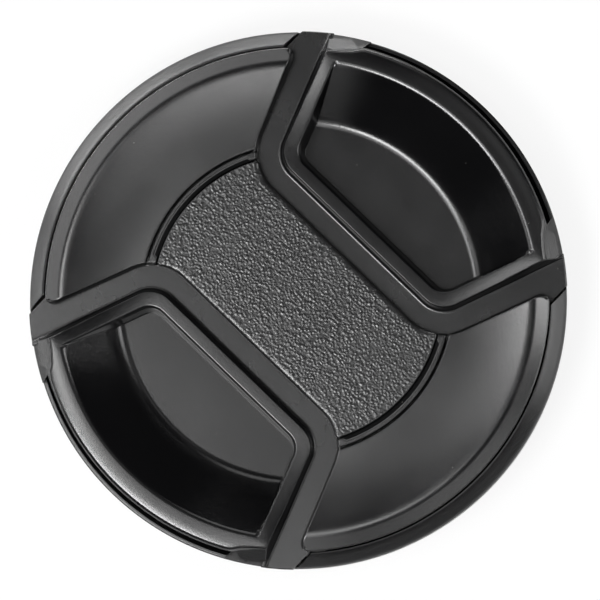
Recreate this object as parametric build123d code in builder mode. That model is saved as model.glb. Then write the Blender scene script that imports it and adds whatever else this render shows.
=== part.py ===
from build123d import *
import os
from math import asin, cos, degrees, pi, radians, sin, tan

# Filter thread that the cap clips into
THREAD_D = 58.0
THREAD_PITCH = 0.75

# Clearances: sliding faces, fixed seams and the spigot inside the thread
SLIDE_GAP = 0.15
SEAM_GAP = 0.10
THREAD_GAP = 0.29

# Body: rim, spigot, seat, floor and deck
RIM_OVERHANG = 1.3
SPIGOT_WALL = 1.3
SEAT_Z = 3.2
HOOP_T = 1.5
HOOP_GAP = 0.35
HOOP_LIP_W = 0.65
HOOP_LIP_T = 0.6
DECK_T = 1.2
FLOOR_Z = 1.0
FLOOR_T = 1.0
WELL_WALL = 1.2
BEVEL_FOOT_Z = 5.85
BEVEL_TOP_Z = 7.5
BEVEL_RUN = 1.65
BEVEL_FLAT = 0.15
RING_EDGE = 0.05
RAIL_W = 1.2
REAR_RIB_T = 1.0
REAR_RIB_X = 9.5
REAR_RIB_Z = 1.4

# Sliders: flange, bezel, pocket, rim and catch
STROKE = 2.2
FLANGE_T = 1.4
FLANGE_HALF_Y = 20.75
FLANGE_LAP = 1.5
FLANGE_PROUD = 0.1
CHANNEL_W = 2.55
BEZEL_W = 1.85
BEZEL_ANGLE = 20.5
BEZEL_OFFSET = 8.55
BEZEL_CORNER_R = 3.4
BEZEL_TOP_Z = 8.0
BEZEL_DRAFT = 11.0
BEZEL_EDGE_R = 0.3
CROWN_DIP = 0.58
CROWN_NEAR = 2.8
CROWN_RUN = 9.3
POCKET_CORNER_R = 1.8
POCKET_DRAFT = 6.0
POCKET_FLOOR_T = 1.1
RIM_W = 3.3
SLOPE_RUN = 6.7
SLOPE_FILLET_R = 1.0
RIDGE_INSET = 1.8
RIDGE_STEP = 0.15
SCALLOP_DEPTH = 0.9
SCALLOP_HALF_DEG = 28.0
SCALLOP_BLEND_DEG = 5.0
SCALLOP_ROUND_R = 0.9
CATCH_Z = 0.4
CATCH_HALF_Y = 17.0
TOOTH_H = 0.6
TOOTH_COUNT = 3
TOOTH_EDGE = 0.1

# Front cover and centre plate
PAD_HALF_X = 7.15
COVER_ANGLE = 21.7
COVER_OFFSET = 10.75
COVER_BEND_R = 5.3
COVER_CORNER_R = 1.4
WEB_T = 0.9
PLATE_T = 0.6
PLATE_END_R = 16.2
PLATE_EDGE = 0.15
LAND_W = 0.95
LAND_GROOVE_W = 0.25
LAND_GROOVE_D = 0.35
LAND_Z = 7.55
LOBE_EDGE_W = 1.75
LOBE_CREST_Z = 8.4
LOBE_EDGE_Z = 7.75
LOBE_EDGE_R = 2.2
LOBE_SAG = 0.25
PEG_R = 1.2
PEG_LENGTH = 2.3
PEG_X = 9.5
PEG_INSET = 2.35
BOSS_WALL = 1.1

# Springs
SPRING_R = 1.2
WIRE_D = 0.36
SPRING_TURNS = 7
END_TURNS = 1
COIL_STEPS = 8
SPRING_RIB_T = 1.6
SPRING_RIB_HALF_Y = 4.0
PIN_R = 0.65
PIN_LENGTH = 1.2

# Radii and levels that follow from the sizes above
thread_minor_r = THREAD_D / 2 - 0.5413 * THREAD_PITCH
cap_r = THREAD_D / 2 + RIM_OVERHANG
spigot_r = thread_minor_r - THREAD_GAP
spigot_in_r = spigot_r - SPIGOT_WALL
root_r = spigot_in_r + SPIGOT_WALL / 4
hoop_z = SEAT_Z + HOOP_T
deck_z = hoop_z - DECK_T
floor_top_z = FLOOR_Z + FLOOR_T
flange_z = hoop_z
flange_top_z = flange_z + FLANGE_T
cover_z = flange_top_z + SLIDE_GAP
web_top_z = cover_z + WEB_T
scallop_r = cap_r - SCALLOP_DEPTH
hoop_in_r = scallop_r + HOOP_GAP
lip_in_r = hoop_in_r - HOOP_LIP_W
lip_z = SEAT_Z + HOOP_LIP_T
grip_back_z = lip_z + SLIDE_GAP
ring_in_r = cap_r - BEVEL_RUN - BEVEL_FLAT - RING_EDGE
cover_r = ring_in_r - SEAM_GAP
lobe_crest_r = cover_r - LOBE_EDGE_W
peg_y = ((cover_r - PEG_INSET) ** 2 - PEG_X**2) ** 0.5
plate_stop_r = PLATE_END_R + SEAM_GAP
land_end_r = plate_stop_r + LAND_W
ridge_r = cap_r - RIDGE_INSET
slope_end_r = cap_r - RIM_W
slope_start_r = slope_end_r - SLOPE_RUN
rail_y = FLANGE_HALF_Y + SLIDE_GAP
window_half_y = CATCH_HALF_Y + 2 * SLIDE_GAP
flange_r = cap_r + FLANGE_PROUD
flange_in_x = PAD_HALF_X - FLANGE_LAP
tub_z = floor_top_z + 2 * SLIDE_GAP
pocket_z = tub_z + POCKET_FLOOR_T
tub_r = slope_end_r - SEAM_GAP
floor_end_r = tub_r - STROKE - 2 * SLIDE_GAP
bevel_slope = BEVEL_RUN / (BEVEL_TOP_Z - BEVEL_FOOT_Z)
ear_r = cap_r - bevel_slope * (flange_top_z - BEVEL_FOOT_Z)
reach = cap_r + 2.0

# Outline corners of the bezel, the pocket, the well and the cover, where two straight edges would meet
bezel_slope = tan(radians(BEZEL_ANGLE))
bezel_secant = 1 / cos(radians(BEZEL_ANGLE))
bezel_rise = BEZEL_OFFSET * bezel_secant
bezel_x = PAD_HALF_X + CHANNEL_W
crown_x = bezel_x + CROWN_NEAR
crown_r = (CROWN_RUN**2 + CROWN_DIP**2) / (2 * CROWN_DIP)
crown_low_z = BEZEL_TOP_Z - CROWN_DIP
crown_inset = (BEZEL_TOP_Z - flange_top_z) * tan(radians(BEZEL_DRAFT))
floor_inset = BEZEL_W + (BEZEL_TOP_Z - pocket_z) * tan(radians(POCKET_DRAFT))
well_gap = 2 * SLIDE_GAP


def wedge(inset, shift=0.0):
    """Corners of the bezel outline moved inward by inset and towards the middle by shift."""
    near_x = bezel_x + inset - shift
    rise = bezel_rise - inset * bezel_secant + bezel_slope * shift
    near_y = rise + bezel_slope * near_x
    far_y = rise + bezel_slope * reach
    return [(near_x, -near_y), (near_x, near_y), (reach, far_y), (reach, -far_y)]


def both_ways(corners):
    """Closed outline made of a wedge towards +X and its mirror image towards -X."""
    left = [(-x, y) for x, y in reversed(corners)]
    return corners[1:3] + corners[3:] + corners[:1] + left[3:] + left[:1] + left[1:3]


bezel_outline = wedge(0)
crown_outline = wedge(crown_inset)
floor_outline = wedge(floor_inset)
well_outline = both_ways(wedge(-well_gap, STROKE))
well_wall_outline = both_ways(wedge(-well_gap - WELL_WALL, STROKE))
cover_slope = tan(radians(COVER_ANGLE))
cover_y = COVER_OFFSET / cos(radians(COVER_ANGLE)) + cover_slope * PAD_HALF_X
cover_far_x = cover_r
cover_far_y = cover_y + cover_slope * (cover_far_x - PAD_HALF_X)
cover_side = [
    (PAD_HALF_X, -cover_y),
    (PAD_HALF_X, cover_y),
    (cover_far_x, cover_far_y),
    (cover_far_x, reach),
]
bend_x = PAD_HALF_X + 1
cover_outline = (
    cover_side
    + [(-x, y) for x, y in reversed(cover_side[1:])]
    + [(-x, -y) for x, y in cover_side[1:]]
    + [(x, -y) for x, y in reversed(cover_side[2:])]
)

# Slope of the pocket's outer wall and the space under it
slope_rise = (BEZEL_TOP_Z - pocket_z) / (slope_end_r - slope_start_r)
shell_drop = POCKET_FLOOR_T * (1 + slope_rise**2) ** 0.5
under_start_r = slope_start_r + (shell_drop - POCKET_FLOOR_T) / slope_rise
under_end_z = pocket_z + slope_rise * (tub_r - slope_start_r) - shell_drop

# Catch teeth, and the angles of the catch and the rim pieces about the cap's axis
tooth_r = spigot_r + TOOTH_H
catch_half_deg = degrees(asin(CATCH_HALF_Y / tooth_r))
ear_half_deg = 1.5 * SCALLOP_HALF_DEG
blend_deg = SCALLOP_HALF_DEG + SCALLOP_BLEND_DEG
tooth_points = [
    (spigot_r + TOOTH_H * height, CATCH_Z + TOOTH_EDGE + THREAD_PITCH * (tooth + along))
    for tooth in range(TOOTH_COUNT)
    for along, height in ((0.05, 0), (0.4, 1), (0.6, 1), (0.95, 0))
]

# Centre line of a spring's wire, from the rib to the slider's tub
spring_z = (floor_top_z + flange_z) / 2
coil_r = SPRING_R - WIRE_D / 2
coil_start_x = (SPRING_RIB_T + WIRE_D) / 2
coil_end_x = bezel_x - WIRE_D / 2
end_pitch = 1.1 * WIRE_D
open_turns = SPRING_TURNS - 2 * END_TURNS
open_pitch = (coil_end_x - coil_start_x - 2 * END_TURNS * end_pitch) / open_turns
coil_turns = [step / COIL_STEPS for step in range(SPRING_TURNS * COIL_STEPS + 1)]
coil_points = [
    (
        coil_start_x
        + end_pitch * (min(turn, END_TURNS) + max(turn - SPRING_TURNS + END_TURNS, 0))
        + open_pitch * min(max(turn - END_TURNS, 0), open_turns),
        coil_r * cos(2 * pi * turn),
        spring_z + coil_r * sin(2 * pi * turn),
    )
    for turn in coil_turns
]


def radial_plane(angle):
    """Upright plane through the cap's axis, its x axis turned by angle degrees from +X."""
    a = radians(angle)
    return Plane(origin=(0, 0, 0), x_dir=(cos(a), sin(a), 0), z_dir=(sin(a), -cos(a), 0))


def polar(radius, angle):
    """Point at a radius and an angle in degrees from +X."""
    return (radius * cos(radians(angle)), radius * sin(radians(angle)))


# Body: spigot, seat ring and bevelled rim, with the floor, deck, rails and bosses inside
with BuildPart() as body:
    with BuildSketch():
        Circle(spigot_r)
        Circle(spigot_in_r, mode=Mode.SUBTRACT)
    extrude(amount=SEAT_Z)
    with BuildSketch(Plane.XY.offset(SEAT_Z)):
        Circle(cap_r)
        Circle(spigot_in_r, mode=Mode.SUBTRACT)
    extrude(amount=HOOP_T)
    with BuildSketch(Plane.XZ):
        with BuildLine():
            Polyline(
                (ring_in_r, hoop_z),
                (cap_r, hoop_z),
                (cap_r, BEVEL_FOOT_Z),
                (cap_r - BEVEL_RUN, BEVEL_TOP_Z),
                (cap_r - BEVEL_RUN - BEVEL_FLAT, BEVEL_TOP_Z),
                (ring_in_r, BEVEL_TOP_Z - BEVEL_FLAT),
                close=True,
            )
        make_face()
    revolve(axis=Axis.Z)
    with BuildSketch(Plane.XY.offset(deck_z)):
        Circle(root_r)
    extrude(amount=DECK_T)
    # Stiffening ribs behind the deck
    with BuildSketch(Plane.XY.offset(REAR_RIB_Z)):
        with Locations((-REAR_RIB_X, 0), (0, 0), (REAR_RIB_X, 0)):
            Rectangle(REAR_RIB_T, 2 * spigot_r)
        Circle(root_r, mode=Mode.INTERSECT)
    extrude(amount=deck_z - REAR_RIB_Z)
    # Wall and floor of the well that the slider tubs move in
    with BuildSketch(Plane.XY.offset(FLOOR_Z)):
        with BuildLine():
            Polyline(*well_wall_outline, close=True)
        make_face()
        Circle(root_r, mode=Mode.INTERSECT)
    extrude(amount=hoop_z - FLOOR_Z)
    with BuildSketch(Plane.XY.offset(floor_top_z)):
        with BuildLine():
            Polyline(*well_outline, close=True)
        make_face()
        Circle(spigot_in_r, mode=Mode.INTERSECT)
    extrude(amount=hoop_z - floor_top_z, mode=Mode.SUBTRACT)
    # Windows that the catches reach through, with a lip at the foot of the hoop outside them
    with BuildSketch():
        Rectangle(2 * reach, 2 * window_half_y)
        Circle(lip_in_r, mode=Mode.INTERSECT)
        Circle(floor_end_r, mode=Mode.SUBTRACT)
    extrude(amount=hoop_z, mode=Mode.SUBTRACT)
    with BuildSketch(Plane.XY.offset(lip_z)):
        Rectangle(2 * reach, 2 * window_half_y)
        Circle(hoop_in_r, mode=Mode.INTERSECT)
        Circle(floor_end_r, mode=Mode.SUBTRACT)
    extrude(amount=hoop_z - lip_z, mode=Mode.SUBTRACT)
    # Slideway through the rim, then the rails and bosses beside it
    with BuildSketch(Plane.XY.offset(hoop_z)):
        Rectangle(2 * reach, 2 * rail_y)
    extrude(amount=BEVEL_TOP_Z, mode=Mode.SUBTRACT)
    with BuildSketch(Plane.XY.offset(hoop_z)):
        with Locations((0, rail_y + RAIL_W / 2), (0, -rail_y - RAIL_W / 2)):
            Rectangle(2 * reach, RAIL_W)
        with GridLocations(2 * PEG_X, 2 * peg_y, 2, 2):
            Circle(PEG_R + BOSS_WALL)
        Circle(ring_in_r + SEAM_GAP, mode=Mode.INTERSECT)
    extrude(amount=cover_z - hoop_z)
    with BuildSketch(Plane.XY.offset(deck_z)):
        with GridLocations(2 * PEG_X, 2 * peg_y, 2, 2):
            Circle(PEG_R + SEAM_GAP / 2)
    extrude(amount=cover_z, mode=Mode.SUBTRACT)
    # Rib between the springs, with a pin each side
    with BuildSketch(Plane.XY.offset(floor_top_z)):
        Rectangle(SPRING_RIB_T, 2 * SPRING_RIB_HALF_Y)
    extrude(amount=hoop_z - floor_top_z)
    with BuildSketch(Plane.YZ):
        with Locations((0, spring_z)):
            Circle(PIN_R)
    extrude(amount=SPRING_RIB_T / 2 + PIN_LENGTH, both=True)
body.part.label = "body"

# Front cover: bow-tie plan, dished lobes, land and groove at each end of the plate, pegs behind
with BuildPart() as front_cover:
    with BuildSketch(Plane.XY.offset(cover_z)) as cover_plan:
        with BuildLine():
            Polyline(*cover_outline, close=True)
        make_face()
        fillet(cover_plan.vertices().filter_by_position(Axis.X, -bend_x, bend_x), COVER_BEND_R)
        Circle(cover_r, mode=Mode.INTERSECT)
        lobe_corners = cover_plan.vertices().filter_by(lambda v: v.X**2 + v.Y**2 > (cover_r - 0.1) ** 2)
        fillet(lobe_corners, COVER_CORNER_R)
    extrude(amount=LOBE_CREST_Z - cover_z)
    with BuildSketch(Plane.XZ):
        with BuildLine():
            Polyline(
                (land_end_r + LAND_GROOVE_W, LAND_Z),
                (land_end_r + LAND_GROOVE_W, LAND_Z - LAND_GROOVE_D),
                (land_end_r, LAND_Z - LAND_GROOVE_D),
                (land_end_r, LAND_Z),
                (plate_stop_r, LAND_Z),
                (plate_stop_r, web_top_z),
                (0, web_top_z),
                (0, cover_z),
                (cover_r, cover_z),
                (cover_r, LOBE_EDGE_Z),
            )
            RadiusArc((cover_r, LOBE_EDGE_Z), (lobe_crest_r, LOBE_CREST_Z), -LOBE_EDGE_R)
            SagittaArc((lobe_crest_r, LOBE_CREST_Z), (land_end_r + LAND_GROOVE_W, LAND_Z), LOBE_SAG)
        make_face()
    revolve(axis=Axis.Z, mode=Mode.INTERSECT)
    with BuildSketch(Plane.XY.offset(cover_z)):
        with GridLocations(2 * PEG_X, 2 * peg_y, 2, 2):
            Circle(PEG_R)
    extrude(amount=-PEG_LENGTH)
front_cover.part.label = "front_cover"

# Centre plate: grained panel lying on the cover's web
with BuildPart() as centre_plate:
    with BuildSketch(Plane.XY.offset(web_top_z)) as plate_plan:
        with BuildLine():
            Polyline(*cover_outline, close=True)
        make_face()
        fillet(plate_plan.vertices().filter_by_position(Axis.X, -bend_x, bend_x), COVER_BEND_R)
        Circle(PLATE_END_R, mode=Mode.INTERSECT)
    extrude(amount=PLATE_T)
    chamfer(centre_plate.edges().group_by(Axis.Z)[-1], PLATE_EDGE)
centre_plate.part.label = "centre_plate"

# Finger pocket: drafted walls, a flat floor and a sloped outer wall
with BuildPart() as pocket:
    with BuildSketch(Plane.XY.offset(pocket_z)) as pocket_plan:
        with BuildLine():
            Polyline(*floor_outline, close=True)
        make_face()
        fillet(pocket_plan.vertices().group_by(Axis.X)[0], POCKET_CORNER_R)
    extrude(amount=BEZEL_TOP_Z - pocket_z + 1, taper=-POCKET_DRAFT)
    with BuildSketch(Plane.XZ) as slope_profile:
        with BuildLine():
            Polyline(
                (0, pocket_z),
                (slope_start_r, pocket_z),
                (slope_end_r, BEZEL_TOP_Z),
                (slope_end_r, BEZEL_TOP_Z + 1),
                (0, BEZEL_TOP_Z + 1),
                close=True,
            )
        make_face()
        fillet(slope_profile.vertices().group_by(Axis.X)[1], SLOPE_FILLET_R)
    revolve(axis=Axis.Z, mode=Mode.INTERSECT)

# Space left under the sloped wall, so that the wall is a shell
with BuildPart() as under_slope:
    with BuildSketch(Plane.XY.offset(tub_z - 1)):
        with BuildLine():
            Polyline(*floor_outline, close=True)
        make_face()
    extrude(amount=BEZEL_TOP_Z)
    with BuildSketch(Plane.XZ):
        with BuildLine():
            Polyline(
                (under_start_r, tub_z),
                (tub_r, under_end_z),
                (tub_r, tub_z - 1),
                (under_start_r, tub_z - 1),
                close=True,
            )
        make_face()
    revolve(axis=Axis.Z, mode=Mode.INTERSECT)

# Raised bezel of a slider, drafted on its channel side and bevelled at the rim
with BuildPart() as bezel:
    with BuildSketch(Plane.XY.offset(flange_top_z)) as bezel_plan:
        with BuildLine():
            Polyline(*bezel_outline, close=True)
        make_face()
        fillet(bezel_plan.vertices().group_by(Axis.X)[0], BEZEL_CORNER_R)
    with BuildSketch(Plane.XY.offset(BEZEL_TOP_Z)) as crown_plan:
        with BuildLine():
            Polyline(*crown_outline, close=True)
        make_face()
        fillet(crown_plan.vertices().group_by(Axis.X)[0], BEZEL_CORNER_R - crown_inset)
    loft(ruled=True)
    with BuildSketch(Plane.XZ):
        with Locations((crown_x, crown_low_z + crown_r)):
            Circle(crown_r)
    extrude(amount=reach, both=True, mode=Mode.SUBTRACT)
    crown_edges = bezel.edges().filter_by_position(Axis.Z, crown_low_z - 0.1, BEZEL_TOP_Z + 0.1)
    crown_edges = crown_edges.filter_by(lambda e: bezel_x < e.center().X < slope_end_r - 3)
    fillet(crown_edges.filter_by(lambda e: e.center().Z > crown_low_z - 0.1), BEZEL_EDGE_R)
    with BuildSketch(Plane.XZ):
        with BuildLine():
            Polyline(
                (0, flange_top_z),
                (ear_r, flange_top_z),
                (cap_r - BEVEL_RUN, BEVEL_TOP_Z),
                (ridge_r, BEVEL_TOP_Z),
                (ridge_r - RIDGE_STEP, BEZEL_TOP_Z),
                (0, BEZEL_TOP_Z),
                close=True,
            )
        make_face()
    revolve(axis=Axis.Z, mode=Mode.INTERSECT)
    with BuildSketch(radial_plane(-SCALLOP_HALF_DEG)):
        with Locations((scallop_r - SCALLOP_ROUND_R, flange_z)):
            Rectangle(reach - scallop_r + SCALLOP_ROUND_R, BEZEL_TOP_Z, align=(Align.MIN, Align.MIN))
    revolve(axis=Axis.Z, revolution_arc=2 * SCALLOP_HALF_DEG, mode=Mode.SUBTRACT)

# Grip of a slider's rim: rounded over, wider than the ridge beside it and blended into it at both ends
with BuildPart() as grip:
    with BuildSketch(Plane.XY.offset(flange_z)):
        with BuildLine():
            Line(polar(slope_start_r, -blend_deg), polar(ridge_r, -blend_deg))
            Spline(
                polar(ridge_r, -blend_deg),
                polar(scallop_r, -SCALLOP_HALF_DEG),
                tangents=(polar(1, 90 - blend_deg), polar(1, 90 - SCALLOP_HALF_DEG)),
            )
            CenterArc((0, 0), scallop_r, -SCALLOP_HALF_DEG, 2 * SCALLOP_HALF_DEG)
            Spline(
                polar(scallop_r, SCALLOP_HALF_DEG),
                polar(ridge_r, blend_deg),
                tangents=(polar(1, 90 + SCALLOP_HALF_DEG), polar(1, 90 + blend_deg)),
            )
            Line(polar(ridge_r, blend_deg), polar(slope_start_r, blend_deg))
            Line(polar(slope_start_r, blend_deg), polar(slope_start_r, -blend_deg))
        make_face()
    extrude(amount=BEZEL_TOP_Z - flange_z)
    with BuildSketch(Plane.XZ) as grip_profile:
        with BuildLine():
            Polyline(
                (tub_r, flange_z),
                (scallop_r, flange_z),
                (scallop_r, BEZEL_TOP_Z),
                (tub_r, BEZEL_TOP_Z),
                close=True,
            )
        make_face()
        outer_corner = grip_profile.vertices().filter_by(lambda v: v.X + v.Y > scallop_r + BEZEL_TOP_Z - 0.1)
        fillet(outer_corner, SCALLOP_ROUND_R)
    revolve(axis=Axis.Z, mode=Mode.INTERSECT)

# Slider on the +X side: flange, tub, bezel, rim, toothed catch and spring pin
with BuildPart() as slider_a:
    with BuildSketch(Plane.XY.offset(flange_z)):
        with Locations((flange_in_x, 0)):
            Rectangle(reach, 2 * FLANGE_HALF_Y, align=(Align.MIN, Align.CENTER))
        Circle(flange_r, mode=Mode.INTERSECT)
    extrude(amount=FLANGE_T)
    with BuildSketch(Plane.XY.offset(flange_z)):
        with BuildLine():
            Polyline(*bezel_outline, close=True)
        make_face()
        Circle(scallop_r, mode=Mode.SUBTRACT)
    extrude(amount=FLANGE_T, mode=Mode.SUBTRACT)
    for ear_deg in (-ear_half_deg, SCALLOP_HALF_DEG):
        with BuildSketch(radial_plane(ear_deg)):
            with BuildLine():
                Polyline(
                    (tub_r, flange_z),
                    (cap_r, flange_z),
                    (cap_r, BEVEL_FOOT_Z),
                    (ear_r, flange_top_z),
                    (tub_r, flange_top_z),
                    close=True,
                )
            make_face()
        revolve(axis=Axis.Z, revolution_arc=ear_half_deg - SCALLOP_HALF_DEG)
    add(bezel.part)
    add(grip.part)
    with BuildSketch(Plane.XY.offset(tub_z)) as tub_plan:
        with BuildLine():
            Polyline(*bezel_outline, close=True)
        make_face()
        fillet(tub_plan.vertices().group_by(Axis.X)[0], BEZEL_CORNER_R)
        Circle(tub_r, mode=Mode.INTERSECT)
    extrude(amount=flange_z - tub_z)
    with BuildSketch(radial_plane(-catch_half_deg)):
        with BuildLine():
            Polyline(
                (tub_r, CATCH_Z),
                (spigot_r, CATCH_Z),
                *tooth_points,
                (spigot_r, grip_back_z),
                (scallop_r, grip_back_z),
                (scallop_r, flange_z),
                (tub_r, flange_z),
                close=True,
            )
        make_face()
    revolve(axis=Axis.Z, revolution_arc=2 * catch_half_deg)
    add(pocket.part, mode=Mode.SUBTRACT)
    add(under_slope.part, mode=Mode.SUBTRACT)
    with BuildSketch(Plane.YZ.offset(bezel_x)):
        with Locations((0, spring_z)):
            Circle(PIN_R)
    extrude(amount=-PIN_LENGTH)
slider_a.part.label = "slider_a"

# Slider on the -X side: the same moulding turned half a turn about the cap's axis
with BuildPart() as slider_b:
    add(slider_a.part, rotation=(0, 0, 180))
slider_b.part.label = "slider_b"

# Spring behind the +X slider: closed end coils and open coils between, round a line along X
with BuildPart() as spring_a:
    with BuildLine() as coil:
        Spline(*coil_points)
    with BuildSketch(Plane(origin=coil.line @ 0, z_dir=coil.line % 0)):
        Circle(WIRE_D / 2)
    sweep(is_frenet=True)
spring_a.part.label = "spring_a"

# Spring behind the -X slider
with BuildPart() as spring_b:
    add(spring_a.part, rotation=(0, 0, 180))
spring_b.part.label = "spring_b"

os.makedirs("parts", exist_ok=True)
export_step(body.part, "parts/body.step")
export_step(front_cover.part, "parts/front_cover.step")
export_step(centre_plate.part, "parts/centre_plate.step")
export_step(slider_a.part, "parts/slider_a.step")
export_step(slider_b.part, "parts/slider_b.step")
export_step(spring_a.part, "parts/spring_a.step")
export_step(spring_b.part, "parts/spring_b.step")
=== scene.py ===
"""Camera lens cap: the moulded front, rim, finger grips and grained panel, dressed and lit."""

import logging
import math
from dataclasses import dataclass, field
from enum import Enum
from typing import Callable

import bpy
import numpy as np
from mathutils import Matrix, Vector
from mathutils.geometry import delaunay_2d_cdt


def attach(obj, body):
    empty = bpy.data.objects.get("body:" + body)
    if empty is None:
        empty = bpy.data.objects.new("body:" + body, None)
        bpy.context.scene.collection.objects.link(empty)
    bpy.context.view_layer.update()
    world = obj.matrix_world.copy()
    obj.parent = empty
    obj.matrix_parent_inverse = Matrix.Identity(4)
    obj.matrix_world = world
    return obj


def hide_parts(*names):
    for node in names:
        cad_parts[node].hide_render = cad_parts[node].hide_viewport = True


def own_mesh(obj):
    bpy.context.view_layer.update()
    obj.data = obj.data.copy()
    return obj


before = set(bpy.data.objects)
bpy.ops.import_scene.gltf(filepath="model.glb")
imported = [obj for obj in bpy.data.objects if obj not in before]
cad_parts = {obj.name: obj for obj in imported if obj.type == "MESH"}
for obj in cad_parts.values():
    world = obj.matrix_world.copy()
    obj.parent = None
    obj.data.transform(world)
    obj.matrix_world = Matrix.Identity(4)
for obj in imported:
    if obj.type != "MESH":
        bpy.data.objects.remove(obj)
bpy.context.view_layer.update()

MM = 0.001
LOG = logging.getLogger("lens_cap")

Array = np.ndarray
Field = Callable[[Array, Array], Array]
Levels = tuple[float, ...]
Box = tuple[float, float, float, float]
Colour = tuple[float, float, float]
Inputs = dict[str | int, object]
Object = bpy.types.Object
Material = bpy.types.Material
Node = bpy.types.Node
Socket = bpy.types.NodeSocket

EDGE_REACH = 0.97  # share of a rounded edge's radius beyond which it runs straight down
NOISE_SPREAD = (0.3, 0.7)  # where most values of a noise lie
WHITE = (1.0, 1.0, 1.0, 1.0)
TINY = 1e-9
TINY_AREA = 1e-12


class Side(Enum):
    """The two ends of the slide axis, as the turn about the cap's axis."""

    PLUS = 0.0
    MINUS = 180.0

    def sign(self) -> float:
        """1 towards +X and -1 towards -X."""
        return 1.0 if self is Side.PLUS else -1.0


def smooth_min(a: Array, b: Array, soft: float) -> Array:
    """Lower of two heights, rounded where they differ by less than soft."""
    near = np.maximum(soft - np.abs(a - b), 0.0) / soft
    return np.minimum(a, b) - near * near * soft * 0.25


def smooth_max(a: Array, b: Array, soft: float) -> Array:
    """Higher of two heights, rounded where they differ by less than soft."""
    return -smooth_min(-a, -b, soft)


def round_corner(a: Array, b: Array, radius: float) -> Array:
    """Distance to the overlap of two outlines, negative inside, with its corner rounded."""
    inner = np.minimum(np.maximum(a, b), -radius)
    return inner + np.hypot(np.maximum(a + radius, 0.0), np.maximum(b + radius, 0.0))


def edge_drop(depth: Array, radius: float) -> Array:
    """Height lost to a rounded edge, at a depth inside the outline."""
    reach = np.clip(radius - depth, 0.0, EDGE_REACH * radius)
    return radius - np.sqrt(radius * radius - reach * reach)


def arc_band(x: Array, y: Array, half_y: float, inner_r: float, outer_r: float) -> Array:
    """Distance to the band between two circles within a half width, negative inside."""
    radius = np.hypot(x, y)
    return np.maximum(np.abs(y) - half_y, np.maximum(inner_r - radius, radius - outer_r))


def fade(value: Array, start: float, run: float) -> Array:
    """Rises from 0 at the start to 1 at the end of the run."""
    return np.clip((value - start) / run, 0.0, 1.0)


def side_share(sides: Array, radius: Array, end_r: float, run: float) -> Array:
    """Share of the sides' edge: 1 along the sides and 0 along the round ends."""
    return np.clip(0.5 + (sides - radius + end_r) / run, 0.0, 1.0)


def put_in_scene(name: str, data: bpy.types.ID) -> Object:
    """Puts a new object into the scene.

    Args:
        name: Name of the object.
        data: Its mesh, lamp or camera.

    Returns:
        The object.
    """
    piece = bpy.data.objects.new(name, data)
    bpy.context.scene.collection.objects.link(piece)
    return piece


@dataclass(frozen=True)
class Wedge:
    """Plan outline open towards +X: an upright edge and two flaring sides, corners rounded."""

    near_x: float
    offset: float
    angle: float
    corner_r: float

    def distance(self, x: Array, y: Array) -> Array:
        """Signed distance to the outline, negative inside.

        Args:
            x: Places along the slide axis.
            y: Places across it.

        Returns:
            Distances in millimetres.
        """
        sin_a = math.sin(math.radians(self.angle))
        cos_a = math.cos(math.radians(self.angle))
        side = np.abs(y)
        centre_x = self.near_x + self.corner_r
        centre_y = (self.offset - self.corner_r + centre_x * sin_a) / cos_a
        dx = x - centre_x
        dy = side - centre_y
        flat = np.maximum(-dx, dy * cos_a - dx * sin_a)
        beyond = (dy >= 0.0) & (dx * cos_a + dy * sin_a <= 0.0)
        return np.where(beyond, np.hypot(dx, dy), flat) - self.corner_r

    def inset(self, depth: float, corner_r: float) -> "Wedge":
        """The same outline moved inwards, with a new corner radius."""
        return Wedge(self.near_x + depth, self.offset - depth, self.angle, corner_r)


@dataclass(frozen=True)
class CapSizes:
    """Sizes in millimetres that the pieces of the cap share."""

    cap_r: float = 30.3
    spigot_r: float = 28.304
    spigot_in_r: float = 27.0
    seat_z: float = 3.2
    hoop_z: float = 4.7
    hoop_in_r: float = 29.86
    lip_in_r: float = 29.1
    lip_z: float = 3.8
    deck_z: float = 3.5
    floor_z: float = 1.0
    floor_top_z: float = 2.0
    floor_end_r: float = 24.4
    rail_y: float = 20.9
    rail_w: float = 1.2
    cover_z: float = 6.25
    cover_r: float = 28.4
    ring_in_r: float = 28.45
    bevel_foot_z: float = 5.85
    bevel_top_z: float = 7.5
    bevel_run: float = 1.65
    flange_z: float = 4.7
    flange_top_z: float = 6.1
    flange_r: float = 30.4
    scallop_r: float = 29.34
    window_half_y: float = 17.3
    catch_half_y: float = 17.0
    tub_z: float = 2.3
    tub_r: float = 26.9
    stroke: float = 2.2
    wall_lean: float = 18.0
    bezel_x: float = 9.7
    bezel_offset: float = 8.55
    bezel_angle: float = 20.5
    bezel_corner_r: float = 3.4
    well_x: float = 7.2
    well_offset: float = 8.85
    well_corner_r: float = 1.0

    def bezel(self) -> Wedge:
        """Foot of a finger grip's raised bezel."""
        return Wedge(self.bezel_x, self.bezel_offset, self.bezel_angle, self.bezel_corner_r)

    def well(self) -> Wedge:
        """Well that a finger grip's tub moves in."""
        offset = self.well_offset + self.stroke * math.sin(math.radians(self.bezel_angle))
        return Wedge(self.well_x, offset, self.bezel_angle, self.well_corner_r)

    def bevel(self, radius: Array) -> Array:
        """Height of the rim's bevel at a radius, carried on past both of its edges."""
        slope = (self.bevel_top_z - self.bevel_foot_z) / self.bevel_run
        return self.bevel_foot_z + (self.cap_r - radius) * slope


@dataclass
class Crease:
    """Level lines of a field that the mesh edges of a moulding follow."""

    course: Field
    levels: Levels
    spacing: float = 0.6
    within: Field | None = None


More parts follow.
